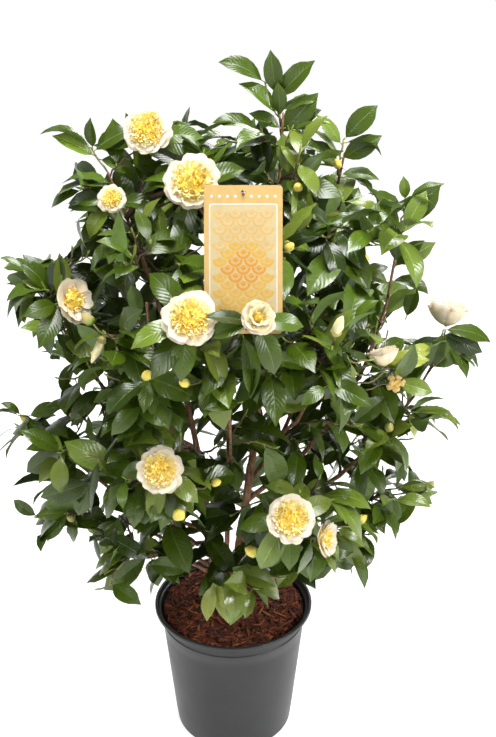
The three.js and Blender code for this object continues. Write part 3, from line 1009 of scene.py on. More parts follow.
def start_wood(paths):
    wood = Wood()
    for name, (centres, _) in paths.items():
        headings = unit(np.gradient(centres, axis=0))
        last = -1
        for i in range(0, len(centres), 2):
            if centres[i][2] >= BARE_BELOW:
                last = wood.add(centres[i], headings[i], last, 0.0, name != "label_twig")
    return wood


def twig_path(wood, foot, target, arriving):
    """A bent, slightly uneven path from a point of the wood to a target."""
    start = wood.place[foot]
    chord = target - start
    distance = np.linalg.norm(chord)
    leave = unit(wood.heading[foot] * 0.55 + unit(chord) + dice.normal(0, 0.12, 3))
    arrive = unit(arriving * 0.9 + unit(chord) * 0.7 + dice.normal(0, 0.10, 3))
    steps = max(4, int(distance / TWIG_STEP) + 1)
    pull = distance * 0.38
    path = bezier(start, start + leave * pull, target - arrive * pull, target, steps + 1)
    sway = dice.normal(0, 0.0016, (steps + 1, 3))
    sway[0] = sway[-1] = 0
    return path + sway


def grow_twig(wood, target, arriving, least=0.045, rise=None, bearing=True):
    """Grows a twig to a target, clear of card and blooms if it can; gives its points, foot first."""
    for foot in wood.feet(target, least, rise):
        path = twig_path(wood, int(foot), target, arriving)
        if not meets_card(path) and not meets_bloom(path[:-3]):
            break
    return lay_twig(wood, int(foot), path, bearing)


def lay_twig(wood, foot, path, bearing):
    """Adds a path to the wood; a bearing twig can carry others, apart from its tip."""
    headings = unit(np.gradient(path, axis=0))
    twig, length = [foot], wood.length[foot]
    for i in range(1, len(path)):
        length += np.linalg.norm(path[i] - path[i - 1])
        twig.append(wood.add(path[i], headings[i], twig[-1], length, bearing and i < len(path) - 2))
    return twig


def stalk_to(wood, target, heading):
    """A short smooth twig that ends at an opening bud's foot, headed as the bud is."""
    foot = int(wood.feet(target, 0.02)[0])
    start = wood.place[foot]
    third = np.linalg.norm(target - start) / 3
    path = bezier(start, start + wood.heading[foot] * third, target - heading * third, target, 7)
    return lay_twig(wood, foot, path, False)


def shoot_spacing(depth):
    """How far apart shoot tips stand at a depth in the crown, or None where none grow."""
    if depth < 0.024:
        return None
    if depth < 0.052:
        return 0.044
    return 0.068 if depth < 0.095 else 0.100


def spaced(places, depths):
    """Picks places at random that keep the distance for their depth."""
    kept = []
    for i in dice.permutation(len(places)):
        apart = shoot_spacing(depths[i])
        if apart and (not kept or np.linalg.norm(places[kept] - places[i], axis=1).min() > apart):
            kept.append(i)
    return kept


def spray_tips():
    """A leading shoot for each spray that has none among LEADERS, and the extra shoots."""
    tips, ways = [], []
    led = [name for name, _, _ in LEADERS]
    for name in MASSES:
        if not name.endswith("_spray") or name in led:
            continue
        low, high = box_of(name)
        middle = place_in(name, (0.5, 0.5, 0.5))
        out = unit(middle * FLAT + [0, 0, 0.001])
        level = height_share(middle)
        lead = unit(out * (1 - level) + UP * (0.2 + level))
        tips.append(middle + lead * (high - low) / 2 * 0.42)
        ways.append(unit(lead + 0.4 * out))
    for name, rows in EXTRA_SHOOTS.items():
        for percents in rows:
            tips.append(percent_in(name, percents))
            ways.append(unit(unit(tips[-1] * FLAT) + UP * height_share(tips[-1])))
    return np.array(tips), np.array(ways)


def grow_leader(wood, name, percents):
    """A twig to a leading shoot's tip, which turns upward the higher it stands."""
    tip = percent_in(name, percents)
    level = height_share(tip)
    return grow_twig(wood, tip, unit(unit(tip * FLAT) * (1.2 - level) + UP * (0.1 + level)), 0.06)


def shoot_tips(wood, crown, leader_twigs):
    """The places, depths and ways of all other shoots, the nearest to the wood first."""
    places, depths, ways = crown
    between = hollow_points()
    places = np.concatenate([places, between])
    depths = np.concatenate([depths, np.full(len(between), HOLLOW_DEPTH)])
    ways = np.concatenate([ways, unit(between * FLAT + [0, -0.05, 0.02])])
    chosen = spaced(places, depths)
    leaders, leading = spray_tips()
    led = np.array([wood.place[twig[-1]] for twig in leader_twigs] + list(leaders))
    chosen = [i for i in chosen if np.linalg.norm(led - places[i], axis=1).min() > LEADER_CLEAR]
    chosen += range(len(places), len(places) + len(leaders))
    places, ways = np.concatenate([places, leaders]), np.concatenate([ways, leading])
    depths = np.concatenate([depths, np.full(len(leaders), LEADING)])
    chosen.sort(key=lambda i: np.linalg.norm(wood.place[: wood.count] - places[i], axis=1).min())
    return [(places[i], depths[i], ways[i]) for i in chosen]


def grow_crown(paths):
    """The twigs to the blooms and the leading shoots, and then one to each shoot tip."""
    wood = start_wood(paths)
    crown = crown_points()
    bloom_twigs = []
    for centre, size, way, _ in BLOOM_ROWS:
        back = centre - way * size * 0.22
        bloom_twigs.append(grow_twig(wood, back, unit(way + 0.6 * UP), 0.06, 0.035, bearing=False))
    leader_twigs = [grow_leader(wood, name, percents) for name, percents, _ in LEADERS]
    shoots = []
    for place, depth, way in shoot_tips(wood, crown, leader_twigs):
        if not meets_card(place[None]) and not meets_bloom(place[None]):
            arriving = unit(way * np.array([1, 1, 0.6]) + UP * (0.25 + 0.75 * height_share(place)))
            shoots.append((grow_twig(wood, place, arriving), way, depth))
    return wood, bloom_twigs, leader_twigs, shoots


def thicken(wood, twigs):
    """A radius for each point: wood carries what grows from it, as pipes do."""
    load = np.zeros(wood.count)
    for twig in twigs:
        load[twig[-1]] += 1
    for i in range(wood.count - 1, -1, -1):
        if wood.parent[i] >= 0:
            load[wood.parent[i]] += load[i]
    return np.minimum(TWIG_TIP * np.maximum(load, 1) ** 0.42, TWIG_MOST)


def used_twigs(twigs, bare_tips):
    """The twigs that carry something, themselves or through other twigs."""
    owner = {point: n for n, twig in enumerate(twigs) for point in twig[1:]}
    used = [twig[-1] not in bare_tips for twig in twigs]
    for _ in range(12):
        for n, twig in enumerate(twigs):
            if used[n] and twig[0] in owner:
                used[owner[twig[0]]] = True
    return [twig for n, twig in enumerate(twigs) if used[n]]


def make_twigs(wood, twigs, foliage):
    """Twigs with swollen joints, green toward young tips, and the leaves' stalks."""
    old = mottled("twig_bark", (0.070, 0.033, 0.021), 0.75, 160, 0.4)
    young = mottled("young_twig", (0.20, 0.17, 0.055), 0.6, 130, 0.3)
    bag = Bag("twigs", [old, young, mottled("leaf_stalk", (0.20, 0.26, 0.06), 0.55, 130, 0.2)])
    radius = thicken(wood, twigs)
    for twig in twigs:
        path = wood.place[twig]
        radii = radius[twig].copy()
        radii[0] = radii[1] * 1.25
        has_tip = len(twig) > 5 and radii[1] < YOUNG_TWIG
        radii = radii * (1 + 0.22 * (np.arange(len(twig)) % 2))
        split = max(2, len(twig) - 5) if has_tip else len(twig)
        add_tube(bag, path[: split + 1], radii[: split + 1])
        if has_tip:
            add_tube(bag, path[split:], radii[split:], slot=1)
    add_stalks(bag, foliage, 2)
    bag.build()


# ---- Leaves ----

# places along a leaf, its half width there as a share, and places across it
LEAF_ROWS, LEAF_COLUMNS = 9, 6
LEAF_U = np.array([0.0, 0.07, 0.18, 0.32, 0.47, 0.62, 0.76, 0.88, 1.0])
LEAF_HALF = np.array([0.05, 0.31, 0.66, 0.92, 1.0, 0.95, 0.74, 0.34, 0.012])
LEAF_V = np.array([-1.0, -0.52, -0.032, 0.032, 0.52, 1.0])
LEAF_THICK = 0.0005
# a leaf's points near its middle
LEAF_HEART = slice(22, 32)
# heights of the joined pieces of leaves
TIERS = [
    ("top", 0.93, 9.0), ("upper", 0.80, 0.93), ("middle", 0.66, 0.80), ("lower", 0.52, 0.66),
    ("skirt", -1.0, 0.52),
]
# the shade tint is painted shade; the bright tint is a real yellow-green that also paints light shining
# through the leaf
LEAF_TINTS = {
    "shade": (0.019, 0.036, 0.002),
    "deep": (0.039, 0.068, 0.002),
    "middle": (0.060, 0.104, 0.005),
    "olive": (0.116, 0.157, 0.017),
    "bright": (0.118, 0.176, 0.017),
    "young": (0.250, 0.285, 0.040),
}
MIDRIB_GREEN, MIDRIB_PALE, UNDER_GREEN, UNDER_BRIGHT = range(6, 10)
# chances of each tint inside the crown and outside it, and how they drift with height and to the right; the
# darker tints inside the crown and on the left are painted shade, and the brighter ones on the right are
# painted light
INNER = [0.28, 0.39, 0.22, 0.08, 0.03, 0.0]
OUTER = [0.10, 0.30, 0.30, 0.19, 0.09, 0.02]
UPWARD = np.array([1.3, 1.3, -0.1, -0.6, -0.8, -0.75])
SHADED_LEFT_LIT_RIGHT = np.array([-1.4, -0.8, 0.35, 0.7, 0.85, 0.0])
# room past the frame's box, the lowest place for a leaf, and room over the pot and beside it
ROOM = np.array([0.010, 0.010, 0.004])
LEAVES_ABOVE, OVER_POT, BESIDE_POT = 0.322, 0.032, 0.010
# room between the middles of leaves, and how many of the latest leaves it counts for
LEAF_CLEAR, LATEST = 0.012, 600
# the inside of the crown, where leaves may stand in the gaps between masses
HEART_REACH, HEART_TOP = 0.18, 0.8


def leaf_tops(leaves):
    """The top grids (n, rows, columns, 3) and normals of a batch of leaves, given as arrays."""
    base, along, normal = leaves["base"], leaves["along"], leaves["normal"]
    column = {key: leaves[key][:, None] for key in ("length", "half", "lift", "bend", "twist")}
    fold, curl, wave, phase = (leaves[key][:, None, None] for key in ("fold", "curl", "wave", "phase"))
    side = np.cross(along, normal)[:, None]
    along, normal = along[:, None], normal[:, None]
    angle = column["lift"] - column["bend"] * LEAF_U[None] ** 1.4
    step = np.diff(LEAF_U, prepend=0.0)[None] * column["length"]
    cosine, sine = np.cos(angle), np.sin(angle)
    run = np.cumsum(step * cosine, 1)[..., None] * along
    rise = np.cumsum(step * sine, 1)[..., None] * normal
    middle = base[:, None] + run + rise
    tangent = cosine[..., None] * along + sine[..., None] * normal
    above = cosine[..., None] * normal - sine[..., None] * along
    twist = (column["twist"] * LEAF_U[None])[..., None]
    across = side * np.cos(twist) + above * np.sin(twist)
    above = np.cross(across, tangent)
    half = (LEAF_HALF[None] * column["half"])[..., None]
    v = LEAF_V[None, None]
    waved = wave * np.sin(LEAF_U[None, :, None] * 15 + phase + v)
    height = half * (np.abs(v) * fold - curl * v**2)
    height = height + waved * v**2 * half
    above = above[:, :, None]
    points = middle[:, :, None] + across[:, :, None] * (half * v)[..., None] + above * height[..., None]
    return points, np.broadcast_to(above, points.shape)


def leaf_row(along, hint, length):
    """One leaf's bearing and shape with its own share of chance."""
    along = unit(along)
    level = math.sqrt(max(0.0, 1 - along[2] ** 2))
    return {
        "along": along,
        "normal": unit(hint - along * np.dot(hint, along)),
        "length": length,
        "half": length * dice.uniform(0.198, 0.248),
        "lift": dice.uniform(0.10, 0.34),
        "bend": dice.uniform(0.35, 1.15) * (0.45 + 0.75 * level),
        "fold": dice.uniform(0.12, 0.62),
        "curl": dice.uniform(0.05, 0.40),
        "wave": dice.uniform(0.0, 0.13),
        "twist": dice.normal(0, 0.28),
        "phase": dice.uniform(0, 6.28),
    }


def batch(rows):
    return {key: np.array([row[key] for row in rows]) for key in rows[0]}


def stands_out(point, level, above):
    """True if a point is further outside the masses than level, or than above over their tops."""
    place, normal, _, distance = CROWN.find_nearest(point)
    away = Vector(point) - place
    deep_within = max(abs(point[0]), abs(point[1])) < HEART_REACH and point[2] < HEART_TOP
    if away.dot(normal) < 0 or deep_within:
        return False
    return distance > level + (above - level) * max(0.0, away.z / (away.length + 1e-9))


def in_bounds(points):
    """True if points stay in the frame's box and clear of the pot."""
    low, high = (np.array(corner) for corner in cad_bounds)
    if (points < low - ROOM).any() or (points > high + ROOM).any():
        return False
    radial = np.hypot(points[:, 0], points[:, 1])
    in_pot = (points[:, 2] < POT_HEIGHT + OVER_POT) & (radial < RIM_RADIUS + BESIDE_POT)
    return not in_pot.any() and points[:, 2].min() > LEAVES_ABOVE


def leaf_fits(points, openings):
    """True if a leaf stays near the masses and clear of pot, openings, card and blooms."""
    if not in_bounds(points) or openings.meet(points[1::2]):
        return False
    if stands_out(points.mean(0), 0.003, 0.022) or stands_out(points[-1], 0.014, 0.048):
        return False
    return not meets_card(points) and not meets_bloom(points)


def spray_tint(height, depth, across):
    """The main tint of one spray: darker inside and to the left as painted shade, brighter low and outside,
    and brighter to the right as painted light.
    """
    side = min(max(across / 0.30, -1.0), 0.4)
    chances = np.array(INNER if depth > 0.06 else OUTER) * (1 + height * UPWARD)
    chances = chances * (1 + side * SHADED_LEFT_LIT_RIGHT)
    return dice.choice(6, p=chances / chances.sum())


def near_tint(tint):
    moved = tint + dice.choice([-1, 0, 1], p=[0.16, 0.66, 0.18])
    return min(max(moved, SHADE), BRIGHT if tint != YOUNG else YOUNG)


class Foliage:
    """Collects the leaves that fit, each with its tint, middle and stalk."""

    def __init__(self, openings):
        self.openings = openings
        self.rows, self.tints, self.centres, self.stalks = [], [], [], []

    def crowded(self, centre):
        """True if one of the latest leaves is too near."""
        latest = np.array(self.centres[-LATEST:]).reshape(-1, 3)
        return (np.linalg.norm(latest - centre, axis=1) < LEAF_CLEAR).any()

    def put(self, foot, row, tint, gap, chosen=False):
        """Takes a leaf at a gap from its foot if it fits; a chosen one may stand by others."""
        row["base"] = foot + row["along"] * gap
        top = leaf_tops(batch([row]))[0][0].reshape(-1, 3)
        centre = top[LEAF_HEART].mean(0)
        if chosen:
            fits = in_bounds(top) and not touches_card(top)
        else:
            fits = not self.crowded(centre) and leaf_fits(top, self.openings)
        if fits:
            self.rows.append(row)
            self.tints.append(tint)
            self.centres.append(centre)
            self.stalks.append((foot, row["base"], row["normal"]))
        return fits


def dress_blooms(foliage):
    """Leaves round the foot of each bloom, where its shoot ends."""
    for (centre, size, way, _), collar in zip(BLOOM_ROWS, COLLARS):
        right = unit(np.cross(UP, way))
        foot = centre - way * size * 0.33
        for clock, length, lean, tint in collar:
            turn = math.radians(clock)
            radial = right * math.sin(turn) + np.cross(way, right) * math.cos(turn)
            for attempt in range(8):
                along = radial + way * (lean / 10) + dice.normal(0, 0.03 + 0.03 * attempt, 3)
                hint = way + UP * 0.35 + dice.normal(0, 0.15, 3)
                row = leaf_row(along, hint, length / 1000)
                if foliage.put(foot, row, tint, 0.006 + 0.06 * size, chosen=True):
                    break


def down_twig(wood, twig):
    """A rule for the place at a distance back from a twig's tip, and the twig's length."""
    back = wood.place[twig][::-1]
    runs = np.concatenate([[0], np.cumsum(np.linalg.norm(np.diff(back, axis=0), axis=1))])
    return lambda run: np.array([np.interp(run, runs, back[:, k]) for k in range(3)]), runs[-1]


def dress_leader(foliage, wood, twig, leaves):
    """The chosen leaves of a leading shoot."""
    place_at, _ = down_twig(wood, twig)
    for run, clock, length, show, tint in leaves:
        place, turn, show = place_at(run / 1000), math.radians(clock), show / 10
        for attempt in range(8):
            chance = dice.normal(0, 0.04 + 0.03 * attempt, 3)
            along = np.array([math.sin(turn), -0.15, math.cos(turn)]) + chance
            hint = np.array([0.0, -show, 1.0 - 0.8 * show]) + dice.normal(0, 0.08, 3)
            row = leaf_row(along, hint, length / 1000)
            row["bend"] = dice.uniform(1.1, 1.35) - 0.75 * show
            if foliage.put(place, row, tint, 0.006, chosen=True):
                break


def shoot_leaf(axis, turn, run, height, way):
    """The heading and the upward hint of a leaf on a shoot."""
    one = unit(np.cross(axis, UP + dice.normal(0, 0.05, 3)))
    radial = one * math.cos(turn) + np.cross(axis, one) * math.sin(turn)
    splay = math.radians(min(74, 36 + 420 * run + dice.normal(0, 7)))
    along = axis * math.cos(splay) + radial * math.sin(splay)
    droop = (0.56 - 0.56 * height) + dice.normal(0, 0.15)
    along = unit(along * np.array([1, 1, 0.80]) - UP * droop)
    return along, UP * 0.85 + way * 0.5 + axis * 0.25 + dice.normal(0, 0.22, 3)


def try_leaf(foliage, place, along, hint, length, tint):
    """Puts a leaf on a shoot, turned further and made smaller at each try."""
    for attempt in range(5):
        heading = along + dice.normal(0, 0.08 + 0.20 * attempt, 3)
        row = leaf_row(heading, hint, length * (1 - 0.05 * attempt))
        if foliage.put(place, row, tint, 0.007):
            return True
    return False


def dress_shoot(foliage, wood, twig, way, depth, most=7, bare=0.0, reach=0.115):
    """Leaves in a spiral down a shoot from its tip."""
    place_at, whole = down_twig(wood, twig)
    tip, before = wood.place[twig[-1]], wood.place[twig[-2]]
    height = height_share(tip)
    tint = spray_tint(height, depth, tip[0])
    turn = dice.uniform(0, 2 * math.pi)
    run, placed = 0.002 + bare, 0
    while run < min(whole - 0.010, reach) and placed < most:
        place = place_at(run)
        axis = unit(place_at(run - 0.008) - place) if run > 0.008 else unit(tip - before)
        along, hint = shoot_leaf(axis, turn, run, height, way)
        length = dice.uniform(0.066, 0.092) * (0.74 if run < 0.006 else 1.0)
        placed += try_leaf(foliage, place, along, hint, length, near_tint(tint))
        run += (0.010 + 0.012 * min(1.0, run / 0.05)) * dice.uniform(0.8, 1.25)
        turn += math.radians(137.5 + dice.normal(0, 9))
    return placed


def leaf_veins(made):
    """Side veins that run forward from the midrib, from each point's place on its leaf."""
    spot = node(made, "ShaderNodeAttribute", attribute_name="spot")["Vector"]
    parts = node(made, "ShaderNodeSeparateXYZ", {"Vector": spot})
    slant = maths(made, "MULTIPLY_ADD", maths(made, "ABSOLUTE", parts["Y"]), -0.26, parts["X"])
    wave = maths(made, "SINE", maths(made, "MULTIPLY", slant, 34.0))
    bump(made, maths(made, "MULTIPLY", wave, wave), 0.14, 0.0010)


def leaf_materials():
    """Tops in each tint, then two pale midribs and two matt undersides."""
    made = []
    for name, colour in LEAF_TINTS.items():
        shine = 0.48 if name in ("shade", "deep") else 0.58
        top = material(f"leaf_{name}", colour, 0.30, Specular_IOR_Level=shine)
        roughen(top, noise(top, 60.0, 2.0), 0.20, 0.38)
        leaf_veins(top)
        made.append(top)
    made.append(mottled("midrib_green", (0.085, 0.150, 0.030), 0.40, 90, 0.2))
    made.append(mottled("midrib_pale", (0.24, 0.34, 0.07), 0.40, 90, 0.2))
    made.append(mottled("underside_green", (0.098, 0.160, 0.030), 0.62, 70, 0.15))
    made.append(mottled("underside_bright", (0.185, 0.280, 0.045), 0.60, 70, 0.15))
    return made


def make_leaves(foliage, materials):
    """One joined piece of leaves for each tier of the crown."""
    faces = blade_faces(LEAF_ROWS, LEAF_COLUMNS)
    count = len(faces) // 2
    on_midrib = (np.arange(count) // 2) % (LEAF_COLUMNS - 1) == 2
    spots, rim = blade_spots(LEAF_U, LEAF_V), blade_rim(LEAF_ROWS, LEAF_COLUMNS)
    heights = np.array(foliage.centres)[:, 2]
    for tier, low, high in TIERS:
        chosen = np.nonzero((heights >= low) & (heights < high))[0]
        points = blade_points(*leaf_tops(batch([foliage.rows[i] for i in chosen])), LEAF_THICK)
        bag = Bag(f"leaves_{tier}", materials)
        for blade, i in zip(points, chosen):
            tint = foliage.tints[i]
            rib, under = (MIDRIB_GREEN, UNDER_GREEN) if tint < BRIGHT else (MIDRIB_PALE, UNDER_BRIGHT)
            slots = np.concatenate([np.where(on_midrib, rib, tint), np.full(count, under)])
            bag.add(blade, faces, slots, spots, rim)
        made = bag.build()
        held = [mass for mass in MASSES if low <= place_in(mass, (0.5, 0.5, 0.5))[2] < high]
        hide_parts(*held)


def add_stalks(bag, foliage, slot):
    faces = np.concatenate([grid_faces(2, 4, wrap=True), [[3, 2, 1, 0], [4, 5, 6, 7]]])
    for start, end, normal in foliage.stalks:
        side = unit(np.cross(end - start, normal))
        above = unit(np.cross(side, end - start))
        ring = np.array([side, -above, -side, above])
        bag.add(np.concatenate([start + ring * 0.0010, end + ring * 0.0009 + above * 0.0002]), faces, slot)


# ---- Blooms ----

PETAL_U, PETAL_V = np.linspace(0.10, 1, 8)[:, None], np.linspace(-1, 1, 9)[None]
PETALOID_U, PETALOID_V = np.linspace(0, 1, 5)[:, None], np.linspace(-1, 1, 4)[None]
PETALOID_WIDTHS = np.array([0.45, 0.7, 0.95, 1.0, 0.62])[:, None]
SCALE_U, SCALE_V = np.linspace(0, 1, 5)[:, None], np.linspace(-1, 1, 5)[None]
GOLDEN_TURN = math.pi * (3 - math.sqrt(5))
# for each form: petal whorls as radius, count, fan, cup, lift and recurve; then the number of
# petaloids, the radius and height of their dome and of the heart below it, and the petals' tint
FORMS = {
    "open": (
        [(1.0, 6, 0.76, 0.22, -0.15, 0.09), (0.91, 6, 0.72, 0.31, -0.13, 0.07)],
        210, (0.73, 0.47), (0.65, 0.41), 0,
    ),
    "cupped": (
        [(1.0, 6, 0.80, 0.44, -0.20, 0.06), (0.88, 6, 0.78, 0.60, -0.18, 0.04)],
        96, (0.62, 0.46), (0.56, 0.41), 0,
    ),
    "bowl": (
        [
            (0.86, 6, 0.92, 0.30, -0.28, -0.40), (0.78, 6, 0.90, 0.36, -0.24, -0.40),
            (0.60, 5, 0.90, 0.44, -0.18, -0.30),
        ],
        50, (0.46, 0.40), (0.36, 0.32), 3,
    ),
    "half": (
        [
            (1.0, 6, 0.88, 0.50, -0.28, 0.06), (0.84, 6, 0.88, 0.74, -0.28, 0.02),
            (0.62, 5, 0.94, 0.90, -0.24, 0.0),
        ],
        50, (0.38, 0.60), (0.31, 0.50), 1,
    ),
    "faded": (
        [(1.0, 5, 0.50, 0.30, -0.10, 0.55), (0.8, 4, 0.50, 0.5, -0.10, 0.5)],
        20, (0.4, 0.3), (0.2, 0.15), 2,
    ),
}
# colour of the outer part, of the foot, and how far light goes in
PETAL_TINTS = {
    "petal_cream": ((0.82, 0.70, 0.50), (0.80, 0.61, 0.24), 0.5),
    "petal_pale_yellow": ((0.78, 0.69, 0.39), (0.76, 0.64, 0.29), 0.5),
    "petal_faded": ((0.71, 0.44, 0.12), (0.52, 0.25, 0.05), 0.5),
    # for the bowl blooms: a brighter, warmer copy of the cream that paints light shining through their
    # petals
    "petal_painted_glow": ((0.88, 0.73, 0.49), (0.84, 0.60, 0.15), 0.5),
    "petaloid_light": ((0.85, 0.73, 0.36), (0.82, 0.60, 0.12), 0.0),
    "petaloid_butter": ((0.84, 0.68, 0.20), (0.80, 0.56, 0.07), 0.0),
    "petaloid_gold": ((0.84, 0.60, 0.08), (0.80, 0.48, 0.03), 0.0),
    "petaloid_cream": ((0.86, 0.76, 0.48), (0.82, 0.64, 0.20), 0.0),
}
LIGHT, BUTTER, GOLD, CREAM = range(4)


def axes_of(way):
    """Two directions square to way and then way itself, as rows."""
    one = unit(np.cross(UP if abs(way[2]) < 0.95 else [0.0, 1.0, 0.0], way))
    return np.stack([one, np.cross(way, one), way])


def guard_petal(radius, turn, fan, cup, lift, recurve):
    """One broad, notched and waved petal in the bloom's own axes, unit radius one."""
    u, v = PETAL_U, PETAL_V
    phase, waves = dice.uniform(0, 6.28), dice.uniform(1.4, 2.6)
    outline = 1 - 0.16 * np.abs(v) ** 3.2 - 0.05 * np.exp(-((v / 0.18) ** 2)) * dice.uniform(0.0, 1.0)
    outline = outline + 0.026 * np.sin(v * 6 + phase)
    rho = radius * u * outline
    angle = turn + v * (fan * (0.55 + 0.45 * np.sin(math.pi * np.clip(u, 0, 1) ** 0.8 * 0.78)))
    height = lift + cup * u**1.2 - recurve * u**3.2 + 0.06 * cup * v**2
    ruffle = 0.036 * radius * u**2 * np.sin(v * waves * math.pi + phase)
    return round_grid(rho, angle, height + ruffle)


def bloom_petals(whorls):
    """The guard petals of one bloom, outer whorl first."""
    petals = []
    for radius, count, fan, cup, lift, recurve in whorls:
        start = dice.uniform(0, 6.28)
        for k in range(count):
            turn = start + (k + dice.uniform(-0.13, 0.13)) * 2 * math.pi / count
            size = radius * dice.uniform(0.92, 1.04)
            tilt = dice.uniform(-0.05, 0.07) + 0.03 * (k % 2)
            petals.append(guard_petal(size, turn, fan * dice.uniform(0.9, 1.08), cup + tilt, lift, recurve))
    return np.array(petals)


def petaloid(share, turn, wide, high):
    """One narrow ruffled petaloid; share is how far it stands from the bloom's middle."""
    u, v = PETALOID_U, PETALOID_V
    reach = wide * share * dice.uniform(0.92, 1.05)
    top = high * math.sqrt(max(0.05, 1 - 0.86 * share**2)) * dice.uniform(0.80, 1.12)
    tip = np.array([reach * math.cos(turn), reach * math.sin(turn), top])
    foot = tip * np.array([0.30, 0.30, 0.0]) + np.array([0, 0, -0.04])
    out = unit(tip - foot)
    outward = np.array([math.cos(turn), math.sin(turn), 0.0])
    side = unit(np.cross(out, np.cross(out, np.cross(UP, outward)) + dice.normal(0, 0.45, 3)))
    profile = dice.uniform(0.048, 0.082) * (0.8 + 0.5 * share) * PETALOID_WIDTHS
    curl = dice.uniform(-0.9, 0.9)
    bend = dice.uniform(-0.10, 0.16)
    ruffle = 0.30 * np.sin(u * 7 + dice.uniform(0, 6.28)) * v
    raised = np.cross(side, out) * (profile * (curl * v**2 + ruffle) - bend * u**2.5)[..., None]
    return foot + (tip - foot) * u[..., None] + side * (profile * v)[..., None] + raised


def bloom_petaloids(count, dome):
    """The dome of petaloids, and how far each stands from the middle (0 to 1)."""
    shares = [math.sqrt((k + 0.5) / count) for k in range(count)]
    turns = (k * GOLDEN_TURN + dice.uniform(-0.3, 0.3) for k in range(count))
    blades = [petaloid(share, turn, *dome) for share, turn in zip(shares, turns)]
    return np.array(blades), np.array(shares)


def petaloid_tints(shares):
    """Light and butter all over, with some gold toward the middle and some cream at the edge."""
    chance = dice.random(len(shares))
    tints = np.where(chance < 0.38, BUTTER, LIGHT)
    tints = np.where((shares < 0.62) & (chance > 0.74), GOLD, tints)
    return np.where((shares > 0.80) & (chance > 0.50), CREAM, tints)


def add_core(bag, axes, centre, radius, wide, high):
    """The rounded and closed heart that the petaloids stand on."""
    rise = (np.linspace(0, 0.94, 8) * math.pi / 2)[:, None]
    turn = around(20)
    rough = 1 + 0.10 * np.sin(7 * turn[None] + 9 * rise) * np.cos(rise)
    rho = wide * np.cos(rise) * rough
    rings = round_grid(rho, turn, high * np.sin(rise) - 0.05).reshape(-1, 3)
    points = np.concatenate([rings, [[0.0, 0.0, -0.12], [0.0, 0.0, high - 0.05]]]) * radius
    bag.add(points @ axes + centre, tube_faces(8, 20), BUTTER)


def calyx_scales():
    """Two rings of rounded scales behind a bloom, in its own axes with unit radius one."""
    scales = []
    fan = 0.75 * np.sin(math.pi * (0.25 + 0.72 * SCALE_U))
    for reach, rise, first in ((0.20, -0.30, 0.0), (0.30, -0.22, 0.5)):
        rho = reach * (0.25 + 0.75 * SCALE_U) * (1 - 0.12 * SCALE_V**2)
        for k in range(5):
            turn = (k + first) * 2 * math.pi / 5 + SCALE_V * fan
            scales.append(round_grid(rho, turn, rise + 0.26 * SCALE_U**1.6))
    return np.array(scales)


def add_blades(bag, grids, axes, centre, radius, thickness, slots):
    """Adds a batch of local grids as closed blades; slots is a number for each, or one for all."""
    grids = grids * radius
    normals = unit(np.cross(np.gradient(grids, axis=2), np.gradient(grids, axis=1)))
    rows, columns = grids.shape[1:3]
    faces, rim = blade_faces(rows, columns), blade_rim(rows, columns)
    spots = blade_spots(np.linspace(0, 1, rows), np.linspace(-1, 1, columns))
    for blade, slot in zip(blade_points(grids, normals, thickness), np.broadcast_to(slots, len(grids))):
        bag.add(blade @ axes + centre, faces, slot, spots, rim)


def petal_material(name):
    """A petal that is deeper toward its foot, with a fine grainy bump."""
    colour, deep, through = PETAL_TINTS[name]
    made = material(name, colour, 0.55, Subsurface_Weight=through, Subsurface_Scale=0.006)
    sockets_of(made)["Subsurface Radius"].default_value = (1.0, 0.85, 0.6)
    spot = node(made, "ShaderNodeAttribute", attribute_name="spot")["Vector"]
    along = node(made, "ShaderNodeSeparateXYZ", {"Vector": spot})["X"]
    depth = maths(made, "MULTIPLY_ADD", noise(made, 70.0, 3.0), 0.5, along)
    link(made, ramp(made, depth, (0.45, deep), (0.95, colour)), "Base Color")
    bump(made, noise(made, 480.0, 2.0), 0.12, 0.0006)
    return made


def make_blooms():
    tints = [petal_material(name) for name in PETAL_TINTS]
    petals, petaloids = Bag("bloom_petals", tints[:4]), Bag("bloom_petaloids", tints[4:])
    calyces = Bag("bloom_calyces", [mottled("calyx_green", (0.30, 0.38, 0.10), 0.6, 120, 0.2)])
    for centre, size, way, form in BLOOM_ROWS:
        whorls, count, dome, core, tint = FORMS[form]
        place = axes_of(way), centre, size / 2
        grids = bloom_petals(whorls)
        slots = np.full(len(grids), tint)
        if form == "half":
            slots[: len(grids) // 2] = 0
        add_blades(petals, grids, *place, 0.0005, slots)
        blades, shares = bloom_petaloids(count, dome)
        add_blades(petaloids, blades, *place, 0.00035, petaloid_tints(shares))
        add_blades(calyces, calyx_scales(), *place, 0.0007, 0)
        add_core(petaloids, *place, *core)
    for bag in (petals, petaloids, calyces):
        bag.build()


# ---- Buds ----

# name, colour, colour in its clouds
BUD_TINTS = [
    ("flower_bud", (0.86, 0.66, 0.12), (0.62, 0.53, 0.09)),
    ("flower_bud_tinged", (0.46, 0.33, 0.14), (0.40, 0.42, 0.10)),
    ("leaf_bud", (0.30, 0.40, 0.08), (0.22, 0.32, 0.05)),
    ("opening_bud", (0.90, 0.80, 0.50), (0.78, 0.74, 0.36)),
]
FLOWER_BUD, TINGED_BUD, LEAF_BUD, OPENING_BUD = range(4)
# buds wider than this have more rows and sides
LARGE_BUD = 0.006


def add_bud(bag, base, way, width, length, slot):
    """A closed bud: an egg of spiral scales that overlap toward a blunt point."""
    rows, sides = (11, 14) if width > LARGE_BUD else (7, 8)
    u = np.linspace(0, 1, rows)[:, None]
    girth = np.sin(math.pi * (u * 0.91 + 0.07) ** 0.80) ** 0.72
    turn = around(sides)
    scale = 1 + 0.08 * np.sin(3 * turn[None] + 9.0 * u) * np.sin(math.pi * u)
    rho = width / 2 * girth * scale
    rings = round_grid(rho, turn, u * length).reshape(-1, 3)
    ends = [[0, 0, -0.02 * length], [0, 0, length * 1.02]]
    points = np.concatenate([rings, ends]) @ axes_of(way) + base
    bag.add(points, tube_faces(rows, sides), slot)


